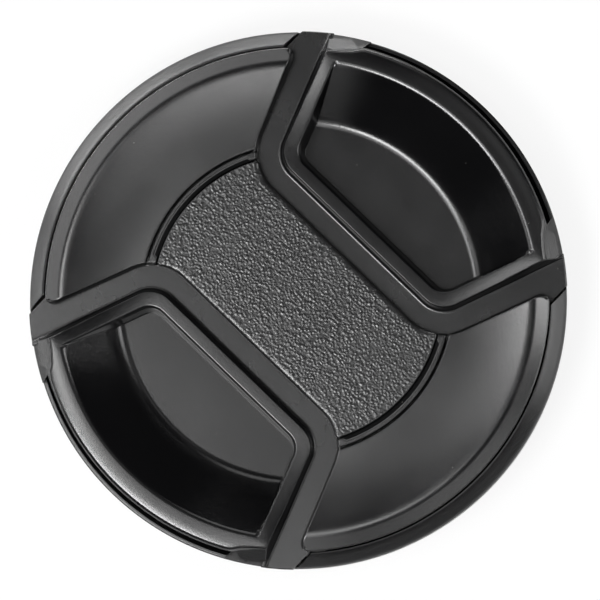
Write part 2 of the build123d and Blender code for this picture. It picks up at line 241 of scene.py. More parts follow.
class Contours:
    """Level lines of plan fields, traced over a fine grid."""

    def __init__(self, box: Box, step: float) -> None:
        """Lays out the grid.

        Args:
            box: Lowest x, lowest y, highest x and highest y.
            step: Spacing of the grid.
        """
        self.xs = np.arange(box[0], box[2] + step, step)
        self.ys = np.arange(box[1], box[3] + step, step)
        self.grid_x, self.grid_y = np.meshgrid(self.xs, self.ys, indexing="ij")

    def segments(self, values: Array) -> tuple[Array, list[tuple[int, int]]]:
        """Crossing points of the zero level and the pairs of them that grid cells join.

        Args:
            values: Field over the grid.

        Returns:
            Crossing points, and pairs of their row numbers.
        """
        high = values > 0.0
        along_x = high[:-1, :] != high[1:, :]
        along_y = high[:, :-1] != high[:, 1:]
        number_x = np.full(along_x.shape, -1)
        number_y = np.full(along_y.shape, -1)
        ix, jx = np.nonzero(along_x)
        iy, jy = np.nonzero(along_y)
        number_x[ix, jx] = np.arange(len(ix))
        number_y[iy, jy] = len(ix) + np.arange(len(iy))
        tx = values[ix, jx] / (values[ix, jx] - values[ix + 1, jx])
        ty = values[iy, jy] / (values[iy, jy] - values[iy, jy + 1])
        step_x = self.xs[1] - self.xs[0]
        step_y = self.ys[1] - self.ys[0]
        points = np.concatenate(
            [
                np.column_stack([self.xs[ix] + tx * step_x, self.ys[jx]]),
                np.column_stack([self.xs[iy], self.ys[jy] + ty * step_y]),
            ]
        )
        sides = [number_x[:, :-1], number_y[1:, :], number_x[:, 1:], number_y[:-1, :]]
        count = sum((side >= 0).astype(int) for side in sides)
        pairs: list[tuple[int, int]] = []
        for first in range(4):
            for second in range(first + 1, 4):
                here = (sides[first] >= 0) & (sides[second] >= 0) & (count == 2)
                pairs += list(zip(sides[first][here].tolist(), sides[second][here].tolist()))
        saddle = count == 4
        for first, second in ((0, 1), (2, 3)):
            pairs += list(zip(sides[first][saddle].tolist(), sides[second][saddle].tolist()))
        return points, pairs

    def trace(self, course: Field, level: float) -> list[Array]:
        """Follows the level lines of a field.

        Args:
            course: Field to follow.
            level: Value to follow.

        Returns:
            One row of points for each line. A closed line ends where it starts.
        """
        values = course(self.grid_x, self.grid_y) - level
        values[values == 0.0] = TINY
        points, pairs = self.segments(values)
        links: dict[int, list[int]] = {}
        for a, b in pairs:
            links.setdefault(a, []).append(b)
            links.setdefault(b, []).append(a)
        starts = [p for p, near in links.items() if len(near) == 1] + list(links)
        seen: set[int] = set()
        lines = []
        for start in starts:
            if start in seen:
                continue
            chain = [start]
            seen.add(start)
            while True:
                onward = [p for p in links[chain[-1]] if p not in seen]
                if not onward:
                    break
                chain.append(onward[0])
                seen.add(onward[0])
            if len(chain) > 2 and start in links[chain[-1]]:
                chain.append(start)
            if len(chain) > 1:
                lines.append(points[chain])
        return lines


def thin_line(line: Array, spacing: float, tolerance: float = 0.003) -> Array:
    """Leaves out the points of a line that lie on its straight or gently curved runs.

    Args:
        line: Points in order.
        spacing: Longest run between two points.
        tolerance: How far the thinned line may leave the old one.

    Returns:
        The points kept.
    """
    keep = np.zeros(len(line), bool)
    keep[[0, -1]] = True
    stack = [(0, len(line) - 1)]
    if np.allclose(line[0], line[-1]) and len(line) > 4:
        middle = len(line) // 2
        keep[middle] = True
        stack = [(0, middle), (middle, len(line) - 1)]
    while stack:
        low, high = stack.pop()
        if high - low < 2:
            continue
        start, end = line[low], line[high]
        chord = end - start
        length = math.hypot(*chord)
        offset = line[low + 1 : high] - start
        if length < TINY:
            away = np.hypot(offset[:, 0], offset[:, 1])
        else:
            away = np.abs(offset[:, 0] * chord[1] - offset[:, 1] * chord[0]) / length
        worst = int(np.argmax(away))
        if away[worst] > tolerance or length > spacing:
            split = low + 1 + worst if away[worst] > tolerance else (low + high) // 2
            keep[split] = True
            stack += [(low, split), (split, high)]
    return line[keep]


@dataclass
class Moulding:
    """Closed moulded piece whose front and rear are height fields over one plan outline."""

    name: str
    outline: Field
    front: Field
    rear: Field
    box: Box
    front_creases: list[Crease] = field(default_factory=list)
    rear_creases: list[Crease] = field(default_factory=list)
    marks: dict[str, Field] = field(default_factory=dict)
    pitch: float = 1.2
    rear_pitch: float = 3.0
    step: float = 0.1
    outline_spacing: float = 0.5
    true_normals: bool = True
    sharp_angle: float = 50.0
    front_margin: float = 0.04
    rear_margin: float = 0.06
    edge_clear: float = 0.4
    cell_share: float = 0.6
    merge: float = 1e-5
    digits: int = 4

    def fill_points(self, taken: Array, pitch: float) -> Array:
        """Staggered points inside the outline, clear of the points already taken.

        Args:
            taken: Points of the creases.
            pitch: Spacing of the new points.

        Returns:
            The new points.
        """
        x0, y0, x1, y1 = self.box
        rows = np.arange(y0, y1, pitch * math.sqrt(0.75))
        columns = np.arange(x0, x1, pitch)
        x, y = np.meshgrid(columns, rows)
        x = x + 0.5 * pitch * (np.arange(len(rows)) % 2)[:, None]
        x, y = x.ravel(), y.ravel()
        inside = self.outline(x, y) < -self.edge_clear * pitch
        x, y = x[inside], y[inside]
        cell = self.cell_share * pitch
        full = {(int(a), int(b)) for a, b in np.floor((taken - (x0, y0)) / cell)}
        cells = np.floor(np.column_stack([x - x0, y - y0]) / cell).astype(int)
        free = [
            not any((a + da, b + db) in full for da in (-1, 0, 1) for db in (-1, 0, 1))
            for a, b in cells.tolist()
        ]
        return np.column_stack([x, y])[np.array(free, bool)]

    def triangles(
        self, lines: list[Array], pitch: float
    ) -> tuple[Array, Array]:
        """Triangulates the plan along given lines.

        Args:
            lines: Lines that the mesh edges follow.
            pitch: Spacing of the fill points.

        Returns:
            Plan points and the triangles inside the outline, counter-clockwise.
        """
        points: list[Array] = []
        edges: list[tuple[int, int]] = []
        start = 0
        for line in lines:
            closed = np.allclose(line[0], line[-1])
            run = line[:-1] if closed else line
            count = len(run)
            points.append(run)
            edges += [(start + i, start + i + 1) for i in range(count - 1)]
            if closed:
                edges.append((start + count - 1, start))
            start += count
        taken = np.concatenate(points)
        everything = np.concatenate([taken, self.fill_points(taken, pitch)])
        spots = [Vector(p) for p in everything.tolist()]
        result = delaunay_2d_cdt(spots, edges, [], 0, self.merge, False)
        plan = np.array([(p.x, p.y) for p in result[0]])
        faces = np.array([f for f in result[2] if len(f) == 3])
        centre = plan[faces].mean(axis=1)
        inside = self.outline(centre[:, 0], centre[:, 1]) < 0.0
        faces = faces[inside]
        a, b, c = plan[faces[:, 0]], plan[faces[:, 1]], plan[faces[:, 2]]
        turn = (b - a)[:, 0] * (c - a)[:, 1] - (b - a)[:, 1] * (c - a)[:, 0]
        faces[turn < 0.0] = faces[turn < 0.0][:, ::-1]
        return plan, faces

    def crease_lines(
        self, contours: Contours, creases: list[Crease], margin: float
    ) -> list[Array]:
        """Lines of the creases, broken off near the outline.

        Args:
            contours: Tracer of level lines.
            creases: Creases to follow.
            margin: Least distance from the outline.

        Returns:
            The lines.
        """
        lines = []
        for crease in creases:
            for level in crease.levels:
                for line in contours.trace(crease.course, level):
                    clear = self.outline(line[:, 0], line[:, 1]) < -margin
                    if crease.within is not None:
                        clear &= crease.within(line[:, 0], line[:, 1]) < 0.0
                    breaks = np.nonzero(np.diff(clear))[0] + 1
                    for run in np.split(np.arange(len(line)), breaks):
                        if len(run) > 2 and clear[run[0]]:
                            lines.append(thin_line(line[run], crease.spacing))
        return lines

    @staticmethod
    def border(faces: Array) -> Array:
        """Edges that belong to one triangle only, in that triangle's direction.

        Args:
            faces: Triangles.

        Returns:
            Pairs of point numbers.
        """
        edges = np.concatenate([faces[:, [0, 1]], faces[:, [1, 2]], faces[:, [2, 0]]])
        keys = {tuple(edge) for edge in edges.tolist()}
        return np.array([edge for edge in keys if (edge[1], edge[0]) not in keys])

    @staticmethod
    def field_normals(height: Field, plan: Array, sign: float) -> Array:
        """Normals of a height field.

        Args:
            height: The field.
            plan: Places on the plan.
            sign: 1 for a surface seen from the front, -1 for one seen from behind.

        Returns:
            Unit normals.
        """
        tiny = 0.004
        x, y = plan[:, 0], plan[:, 1]
        dx = (height(x + tiny, y) - height(x - tiny, y)) / (2.0 * tiny)
        dy = (height(x, y + tiny) - height(x, y - tiny)) / (2.0 * tiny)
        normals = np.column_stack([-dx, -dy, np.ones_like(dx)]) * sign
        return normals / np.linalg.norm(normals, axis=1)[:, None]

    @staticmethod
    def corner_normals(
        points: Array, faces: Array, normals: Array, limit: float = 0.9
    ) -> Array:
        """Normals at the corners of triangles, which stay flat up to a sharp edge.

        Args:
            points: Points of the surface.
            faces: Triangles.
            normals: Normals of the height field at the points.
            limit: Least cosine between a field's normal that is used and its triangle's own.

        Returns:
            Array of corner and axis.
        """
        a, b, c = (points[faces[:, corner]] for corner in range(3))
        flat = np.cross(b - a, c - a)
        flat /= np.maximum(np.linalg.norm(flat, axis=1), TINY_AREA)[:, None]
        near = normals[faces]
        keep = (near * flat[:, None]).sum(axis=2) > limit
        return np.where(keep[..., None], near, flat[:, None]).reshape(-1, 3)

    @staticmethod
    def wall_normals(plan: Array, border: Array, limit: float = 0.8) -> Array:
        """Level normals at both ends of each border edge, smooth along gentle bends.

        Args:
            plan: Plan points.
            border: Border edges.
            limit: Least cosine between neighbouring edges that count as one smooth bend.

        Returns:
            Array of edge, end and axis.
        """
        run = plan[border[:, 1]] - plan[border[:, 0]]
        run /= np.maximum(np.linalg.norm(run, axis=1), TINY)[:, None]
        flat = np.column_stack([run[:, 1], -run[:, 0], np.zeros(len(run))])
        leaving = {int(a): i for i, (a, _) in enumerate(border)}
        arriving = {int(b): i for i, (_, b) in enumerate(border)}
        normals = np.zeros((len(border), 2, 3))
        for i, (a, b) in enumerate(border.tolist()):
            for end, other in ((0, arriving.get(a, i)), (1, leaving.get(b, i))):
                gentle = flat[i] @ flat[other] > limit
                joined = flat[i] + flat[other] if gentle else flat[i]
                normals[i, end] = joined / np.linalg.norm(joined)
        return normals

    def build(self) -> Object:
        """Makes the mesh: front, rear and the wall between them.

        Returns:
            The new object, in metres.
        """
        contours = Contours(self.box, self.step)
        edges = contours.trace(self.outline, 0.0)
        lines = [thin_line(line, self.outline_spacing) for line in edges]
        lines += self.crease_lines(contours, self.front_creases, self.front_margin)
        plan, front = self.triangles(lines, self.pitch)
        border = self.border(front)
        rear_lines = [plan[[a, b]] for a, b in border.tolist()]
        rear_lines += self.crease_lines(contours, self.rear_creases, self.rear_margin)
        rear_plan, rear = self.triangles(rear_lines, self.rear_pitch)
        match = {tuple(np.round(p, self.digits)): i for i, p in enumerate(rear_plan)}
        below = {int(a): match[tuple(np.round(plan[a], self.digits))] for a in np.unique(border)}
        top = np.column_stack([plan, self.front(plan[:, 0], plan[:, 1])])
        bottom = np.column_stack([rear_plan, self.rear(rear_plan[:, 0], rear_plan[:, 1])])
        count = len(top)
        walls = np.array(
            [(a, count + below[a], count + below[b], b) for a, b in border.tolist()]
        )
        faces = front.tolist() + (rear[:, ::-1] + count).tolist() + walls.tolist()
        mesh = bpy.data.meshes.new(self.name)
        mesh.from_pydata((np.concatenate([top, bottom]) * MM).tolist(), [], faces)
        mesh.shade_smooth()
        for mark, course in self.marks.items():
            values = np.zeros(count + len(bottom))
            values[:count] = course(plan[:, 0], plan[:, 1])
            layer = mesh.attributes.new(mark, "FLOAT", "POINT")
            layer.data.foreach_set("value", values.astype(np.float32))
        if self.true_normals:
            front_n = self.field_normals(self.front, plan, 1.0)[front].reshape(-1, 3)
            rear_n = self.field_normals(self.rear, rear_plan, -1.0)
            rear_n = self.corner_normals(bottom, rear[:, ::-1], rear_n)
            side = self.wall_normals(plan, border)
            wall_n = side[:, [0, 0, 1, 1]].reshape(-1, 3)
            mesh.normals_split_custom_set(np.concatenate([front_n, rear_n, wall_n]).tolist())
        else:
            mesh.set_sharp_from_angle(angle=math.radians(self.sharp_angle))
        LOG.info("%s: %d points, %d faces", self.name, len(mesh.vertices), len(mesh.polygons))
        return put_in_scene(self.name, mesh)


class NodeKit:
    """Short calls for placing and joining nodes in a tree."""

    def __init__(self, tree: bpy.types.NodeTree) -> None:
        """Keeps the tree to work on."""
        self.tree = tree

    def put(self, value: object, socket: Socket) -> None:
        """Links a socket to an input, or sets the input to a plain value.

        Args:
            value: Socket or plain value.
            socket: Input to fill.
        """
        if isinstance(value, Socket):
            self.tree.links.new(value, socket)
        else:
            socket.default_value = value

    def add(self, kind: str, inputs: Inputs | None = None, **settings: object) -> Node:
        """Places a node, sets its properties and fills its inputs.

        Args:
            kind: Node type.
            inputs: Sockets or plain values for its inputs, by name or number.
            settings: Properties of the node.

        Returns:
            The node.
        """
        node = self.tree.nodes.new(kind)
        for key, value in settings.items():
            setattr(node, key, value)
        for key, value in (inputs or {}).items():
            self.put(value, node.inputs[key])
        return node

    def math(self, operation: str, *terms: object, clamp: bool = False) -> Socket:
        """Joins values by a sum.

        Args:
            operation: Kind of sum.
            terms: Sockets or numbers.
            clamp: Whether the result is held between 0 and 1.

        Returns:
            The result's socket.
        """
        inputs = dict(enumerate(terms))
        node = self.add("ShaderNodeMath", inputs, operation=operation, use_clamp=clamp)
        return node.outputs[0]

    def vector(self, operation: str, *terms: object) -> Socket:
        """Joins vectors by a sum."""
        inputs = dict(enumerate(terms))
        return self.add("ShaderNodeVectorMath", inputs, operation=operation).outputs[0]

    def ramp(
        self, value: Socket, low: float, high: float, start: float = 0.0, end: float = 1.0
    ) -> Socket:
        """Maps a value smoothly from one range to another.

        Args:
            value: Socket to map.
            low: Start of the range read.
            high: End of the range read.
            start: Result at low.
            end: Result at high.

        Returns:
            The result's socket.
        """
        inputs = {
            "Value": value, "From Min": low, "From Max": high, "To Min": start, "To Max": end
        }
        node = self.add("ShaderNodeMapRange", inputs, interpolation_type="SMOOTHSTEP")
        return node.outputs["Result"]

    def noise(
        self,
        place: Socket,
        scale: object,
        detail: float,
        rough: float = 0.5,
        seed: Socket | None = None,
    ) -> Node:
        """Noise over a place.

        Args:
            place: Socket of coordinates.
            scale: Socket or number for the scale.
            detail: Octaves.
            rough: Weight of the finer octaves.
            seed: Socket that picks one of many patterns.

        Returns:
            The noise node.
        """
        inputs = {"Vector": place, "Scale": scale, "Detail": detail, "Roughness": rough}
        if seed is None:
            return self.add("ShaderNodeTexNoise", inputs)
        return self.add("ShaderNodeTexNoise", {**inputs, "W": seed}, noise_dimensions="4D")

    def tint(self, share: Socket, low: Colour, high: Colour) -> Socket:
        """Mixes two colours.

        Args:
            share: Share of the second colour.
            low: First colour.
            high: Second colour.

        Returns:
            The mixed colour's socket.
        """
        inputs = {"Factor": share, "A": (*low, 1.0), "B": (*high, 1.0)}
        return self.add("ShaderNodeMix", inputs, data_type="RGBA").outputs["Result"]


class GroupKit(NodeKit):
    """Node group with named inputs and outputs."""

    def __init__(
        self, name: str, kind: str, inputs: dict[str, str], outputs: dict[str, str]
    ) -> None:
        """Makes the group and its sockets.

        Args:
            name: Name of the group.
            kind: Kind of tree: Geometry or Shader.
            inputs: Socket types of the inputs, by name.
            outputs: Socket types of the outputs, by name.
        """
        super().__init__(bpy.data.node_groups.new(name, f"{kind}NodeTree"))
        for way, sockets in (("INPUT", inputs), ("OUTPUT", outputs)):
            for label, what in sockets.items():
                self.tree.interface.new_socket(label, in_out=way, socket_type=f"NodeSocket{what}")
        self.given = self.add("NodeGroupInput").outputs
        self.result = self.add("NodeGroupOutput").inputs


class PieceNodes(GroupKit):
    """Geometry Nodes tree that makes or changes one piece, with a named input for each value."""

    def __init__(self, name: str, values: dict[str, float]) -> None:
        """Makes the tree.

        Args:
            name: Name of the tree.
            values: Values of its named inputs.
        """
        inputs = {"Geometry": "Geometry", **dict.fromkeys(values, "Float")}
        super().__init__(name, "Geometry", inputs, {"Geometry": "Geometry"})
        self.values = values

    def upward(self, height: Socket) -> Socket:
        """Vector that points up by a height."""
        return self.add("ShaderNodeCombineXYZ", {"Z": height}).outputs[0]

    def tube(self, course: Socket, profile: Socket) -> Socket:
        """Closed solid swept by a profile along a course."""
        inputs = {"Curve": course, "Profile Curve": profile, "Fill Caps": True}
        return self.add("GeometryNodeCurveToMesh", inputs).outputs[0]

    def close(self, geometry: Socket, material: Material) -> None:
        """Ends the tree: makes instances real and sets the material.

        Args:
            geometry: What the tree has made.
            material: Material that it sets.
        """
        real = self.add("GeometryNodeRealizeInstances", {0: geometry}).outputs[0]
        coat = self.add("GeometryNodeSetMaterial", {"Geometry": real, "Material": material})
        self.put(coat.outputs[0], self.result[0])

    def bake(self, piece: Object, sharp_angle: float | None = None) -> None:
        """Runs the tree on a piece and keeps the result as its plain mesh.

        Args:
            piece: Object to change.
            sharp_angle: Least angle of a sharp edge, in degrees, where the mesh is a new one.
        """
        modifier = piece.modifiers.new(self.tree.name, "NODES")
        modifier.node_group = self.tree
        for socket in self.tree.interface.items_tree:
            if socket.in_out == "INPUT" and socket.name in self.values:
                modifier[socket.identifier] = self.values[socket.name]
        depsgraph = bpy.context.evaluated_depsgraph_get()
        done = bpy.data.meshes.new_from_object(piece.evaluated_get(depsgraph))
        piece.modifiers.remove(modifier)
        old = piece.data
        piece.data = done
        bpy.data.meshes.remove(old)
        done.name = piece.name
        if sharp_angle is not None:
            done.shade_smooth()
            done.set_sharp_from_angle(angle=math.radians(sharp_angle))
        LOG.info("%s: %d faces after %s", piece.name, len(done.polygons), self.tree.name)


@dataclass
class CapBody:
    """Rim with its bevel, the slideway, the well and, behind them, the spigot and its ribs."""

    sizes: CapSizes
    name: str = "rim_body"
    edge_r: float = 0.22
    ridge_soft: float = 0.3
    rear_soft: float = 0.12
    rib_x: Levels = (-9.5, 0.0, 9.5)
    rib_half_t: float = 0.5
    rib_z: float = 1.4
    well_wall: float = 1.2
    boss_x: float = 9.5
    boss_y: float = 24.2
    boss_r: float = 2.3
    peg_hole_r: float = 1.25
    peg_hole_rise: float = 0.3
    rail_lap: float = 0.1
    spring_rib_x: float = 0.8
    spring_rib_y: float = 4.0
    lip_fall: float = 0.6
    box_half: float = 31.0
    pitch: float = 1.4
    rear_pitch: float = 1.6
    ring_insets: Levels = (
        0.02, 0.06, 0.12, 0.2, 0.42, 0.44, 0.49, 0.52, 1.0, 1.42, 1.5, 1.58, 1.66, 1.74, 1.85
    )
    rim_shares: Levels = (1.1, 0.9, 0.55, 0.28, 0.1)
    rail_steps: Levels = (0.09, 0.17)
    spigot_steps: Levels = (0.19, 0.18)
    wall_step: float = 0.15
    boss_step: float = 0.1
    well_step: float = 0.14
    rib_step: float = 0.12

    def outline(self, x: Array, y: Array) -> Array:
        """Distance to the plan: the rim's circle less the two windows for the catches.

        Args:
            x: Places along the slide axis.
            y: Places across it.

        Returns:
            Distances, negative inside.
        """
        s = self.sizes
        window = arc_band(x, y, s.window_half_y, s.floor_end_r, s.lip_in_r)
        return np.maximum(np.hypot(x, y) - s.cap_r, -window)

    def boss(self, x: Array, y: Array) -> Array:
        """Distance to the middle of the nearest peg boss."""
        return np.hypot(np.abs(x) - self.boss_x, np.abs(y) - self.boss_y)

    def rib(self, x: Array, y: Array) -> Array:
        """Distance to the middle plane of the nearest rear rib."""
        return np.minimum(np.abs(x), np.abs(np.abs(x) - self.boss_x))

    def inside_spigot(self, x: Array, y: Array) -> Array:
        """Distance to the spigot's inner face, negative inside."""
        return np.hypot(x, y) - self.sizes.spigot_in_r

    def well_distance(self, x: Array, y: Array) -> Array:
        """Distance to the well's sides.

        Args:
            x: Places along the slide axis.
            y: Places across it.

        Returns:
            Distances, negative inside.
        """
        well = self.sizes.well()
        angle = math.radians(well.angle)
        along = np.maximum(np.abs(x), well.near_x)
        side = np.abs(y) * math.cos(angle) - along * math.sin(angle) - well.offset
        return np.maximum(side, self.inside_spigot(x, y))

    def front(self, x: Array, y: Array) -> Array:
        """Height of the front: bevelled ring, rails, bosses, slideway and well.

        Args:
            x: Places along the slide axis.
            y: Places across it.

        Returns:
            Heights.
        """
        s = self.sizes
        lean = s.wall_lean
        radius = np.hypot(x, y)
        side = np.abs(y) - s.rail_y
        ridge = np.full_like(radius, s.bevel_top_z)
        ring = smooth_min(s.bevel(radius), ridge, self.ridge_soft)
        ring = ring - edge_drop(s.cap_r - radius, self.edge_r)
        ring = np.minimum(ring, s.hoop_z + np.minimum(radius - s.ring_in_r, side) * lean)
        inner = np.minimum(side, s.rail_w - side)
        inner = np.minimum(inner, s.ring_in_r + self.rail_lap - radius)
        boss = self.boss(x, y)
        rail = np.minimum(s.cover_z, s.hoop_z + np.maximum(inner, self.boss_r - boss) * lean)
        well = self.well_distance(x, y)
        deck = np.minimum(s.hoop_z, np.maximum(s.floor_top_z, s.hoop_z + well * lean))
        rib = np.minimum(self.spring_rib_x - np.abs(x), self.spring_rib_y - np.abs(y))
        rib = np.minimum(s.hoop_z, s.floor_top_z + rib * lean)
        deck = deck - edge_drop(s.cap_r - radius, self.edge_r)
        lip = arc_band(x, y, s.window_half_y, s.floor_end_r, s.hoop_in_r)
        lip_run = np.clip(s.hoop_in_r - radius, 0.0, s.hoop_in_r - s.lip_in_r)
        lip_floor = s.lip_z - lip_run * self.lip_fall
        deck = np.minimum(deck, np.maximum(lip_floor, s.hoop_z + lip * lean))
        height = np.maximum(np.maximum(ring, rail), np.maximum(deck, rib))
        hole = s.deck_z + self.peg_hole_rise + np.maximum(boss - self.peg_hole_r, 0.0) * lean
        return np.minimum(height, hole)

    def rear(self, x: Array, y: Array) -> Array:
        """Height of the rear: seat, spigot, floor, ribs and the hollows between them.

        Args:
            x: Places along the slide axis.
            y: Places across it.

        Returns:
            Heights.
        """
        s = self.sizes
        lean = s.wall_lean
        radius = np.hypot(x, y)
        base = np.where(radius > 0.5 * (s.spigot_r + s.spigot_in_r), s.seat_z, s.deck_z)
        base = base + edge_drop(s.cap_r - radius, self.edge_r)
        spigot = np.maximum(radius - s.spigot_r, s.spigot_in_r - radius) * lean
        floor = s.floor_z + np.maximum(self.well_distance(x, y) - self.well_wall, 0.0) * lean
        height = smooth_min(base, np.maximum(spigot, 0.0), self.rear_soft)
        height = smooth_min(height, floor, self.rear_soft)
        for rib_x in self.rib_x:
            rib = self.rib_z + np.maximum(np.abs(x - rib_x) - self.rib_half_t, 0.0) * lean
            rib = np.maximum(rib, self.rib_z + (radius - s.spigot_r) * lean)
            height = smooth_min(height, rib, self.rear_soft)
        return height

    def build(self) -> Object:
        """Makes the body's mesh.

        Returns:
            The new object.
        """
        s = self.sizes
        rings = tuple(s.cap_r - inset for inset in self.ring_insets)
        rim = tuple(s.cap_r - self.edge_r * share for share in self.rim_shares)
        near, far = self.rail_steps
        rail_end = s.rail_y + s.rail_w
        rails = (s.rail_y, s.rail_y + near, s.rail_y + far, rail_end - near, rail_end)
        hole = (self.peg_hole_r, self.peg_hole_r + self.wall_step)
        inner, outer = self.spigot_steps
        spigot = (s.spigot_in_r - inner, s.spigot_in_r, s.spigot_r, s.spigot_r + outer)
        well = (self.well_wall, self.well_wall + self.well_step)
        rib = (self.rib_half_t, self.rib_half_t + self.rib_step)
        moulding = Moulding(
            name=self.name,
            outline=self.outline,
            front=self.front,
            rear=self.rear,
            box=(-self.box_half, -self.box_half, self.box_half, self.box_half),
            front_creases=[
                Crease(np.hypot, rings, spacing=0.7),
                Crease(lambda x, y: np.abs(y), rails, spacing=1.5),
                Crease(self.well_distance, (-self.wall_step, 0.0), spacing=2.0),
                Crease(self.boss, (*hole, self.boss_r - self.boss_step, self.boss_r)),
            ],
            rear_creases=[
                Crease(np.hypot, spigot, spacing=0.7),
                Crease(np.hypot, rim, spacing=0.7),
                Crease(self.well_distance, well, spacing=2.0, within=self.inside_spigot),
                Crease(self.rib, rib, spacing=2.0, within=self.inside_spigot),
            ],
            pitch=self.pitch,
            rear_pitch=self.rear_pitch,
        )
        return moulding.build()


@dataclass
class FrontCover:
    """Bow-tie moulding: two dished lobes, the land and groove round the panel, and the web."""

    sizes: CapSizes
    name: str = "front_lobes"
    pad_half_x: float = 7.15
    offset: float = 10.75
    angle: float = 21.7
    bend_r: float = 5.3
    corner_r: float = 1.4
    web_z: float = 7.15
    land_z: float = 7.55
    land_in_r: float = 16.38
    land_end_r: float = 17.25
    seam_in_r: float = 16.2
    groove_w: float = 0.4
    groove_z: float = 6.85
    groove_edge_r: float = 0.12
    groove_draft: float = 0.05
    dish_start_r: float = 17.5
    crest_r: float = 26.6
    crest_z: float = 8.4
    dish_sag: float = 0.25
    edge_slope: float = 0.38
    shoulder_rise: float = 0.05
    shoulder_back: float = 0.2
    crest_soft: float = 0.3
    edge_r: float = 0.22
    rim_edge_r: float = 0.16
    edge_run: float = 1.5
    draft_w: float = 0.3
    draft_slope: float = 2.8
    draft_soft: float = 0.16
    least_edge: float = 0.2
    box: Box = (-20.5, -29.0, 20.5, 29.0)
    pitch: float = 0.9
    seam_step: float = 0.02
    land_step: float = 0.04
    groove_steps: Levels = (0.32, 0.25, 0.2, 0.15)
    dish_levels: Levels = (
        18.5, 19.5, 20.5, 21.5, 22.5, 23.5, 24.5,
        25.2, 25.6, 25.9, 26.2, 26.5, 26.8, 27.1, 27.4, 27.8,
    )
    drop_levels: Levels = (-0.02, -0.05, -0.1, -0.16, -0.22, -0.27, -0.3, -0.34, -0.42, -0.7)

    def sides(self, x: Array, y: Array) -> Array:
        """Distance to the edges along the two channels, negative on the cover."""
        wedge = Wedge(self.pad_half_x, self.offset, self.angle, self.bend_r)
        return -np.minimum(wedge.distance(x, y), wedge.distance(-x, y))

    def outline(self, x: Array, y: Array) -> Array:
        """Distance to the cover's plan."""
        return round_corner(np.hypot(x, y) - self.sizes.cover_r, self.sides(x, y), self.corner_r)

    def groove_r(self) -> float:
        """Radius of the groove's middle line."""
        return self.land_end_r + 0.5 * self.groove_w

    def front(self, x: Array, y: Array) -> Array:
        """Height of the lobes, land, groove and web.

        Args:
            x: Places along the slide axis.
            y: Places across it.

        Returns:
            Heights.
        """
        lean = self.sizes.wall_lean
        radius = np.hypot(x, y)
        t = (radius - self.dish_start_r) / (self.crest_r - self.dish_start_r)
        dish = self.land_z + (self.crest_z - self.land_z) * t - 4.0 * self.dish_sag * t * (1.0 - t)
        beyond = radius - self.crest_r + self.shoulder_back
        shoulder = self.crest_z + self.shoulder_rise - self.edge_slope * beyond
        lobe = smooth_min(dish, shoulder, self.crest_soft)
        seam = np.where(radius > self.seam_in_r, self.groove_z, self.web_z)
        web = np.minimum(self.land_z, seam + np.maximum(radius - self.land_in_r, 0.0) * lean)
        gap = np.abs(radius - self.groove_r()) - 0.5 * self.groove_w
        height = np.where(radius > self.groove_r(), lobe, web)
        height = height - edge_drop(gap, self.groove_edge_r)
        groove = self.groove_z + np.maximum(gap + self.groove_draft, 0.0) * lean
        height = np.minimum(height, groove)
        by_side = side_share(self.sides(x, y), radius, self.sizes.cover_r, self.edge_run)
        edge = self.rim_edge_r + (self.edge_r - self.rim_edge_r) * by_side
        depth = -self.outline(x, y)
        fall = (self.draft_w - depth) * self.draft_slope
        draft = smooth_max(fall, np.zeros_like(depth), self.draft_soft)
        edged = height - edge_drop(depth, edge) - draft * by_side
        return np.maximum(edged, np.minimum(height, self.sizes.cover_z + self.least_edge))

    def rear(self, x: Array, y: Array) -> Array:
        """Height of the flat back."""
        return np.full_like(x, self.sizes.cover_z)

    def build(self) -> Object:
        """Makes the cover's mesh.

        Returns:
            The new object.
        """
        middle = self.groove_r()
        rings = (
            self.seam_in_r,
            self.seam_in_r + self.seam_step,
            self.land_in_r,
            self.land_in_r + self.land_step,
            *(middle - step for step in self.groove_steps),
            *(middle + step for step in reversed(self.groove_steps)),
            *self.dish_levels,
        )
        moulding = Moulding(
            name=self.name,
            outline=self.outline,
            front=self.front,
            rear=self.rear,
            box=self.box,
            front_creases=[
                Crease(self.outline, self.drop_levels, spacing=0.5),
                Crease(np.hypot, rings),
            ],
            pitch=self.pitch,
        )
        return moulding.build()


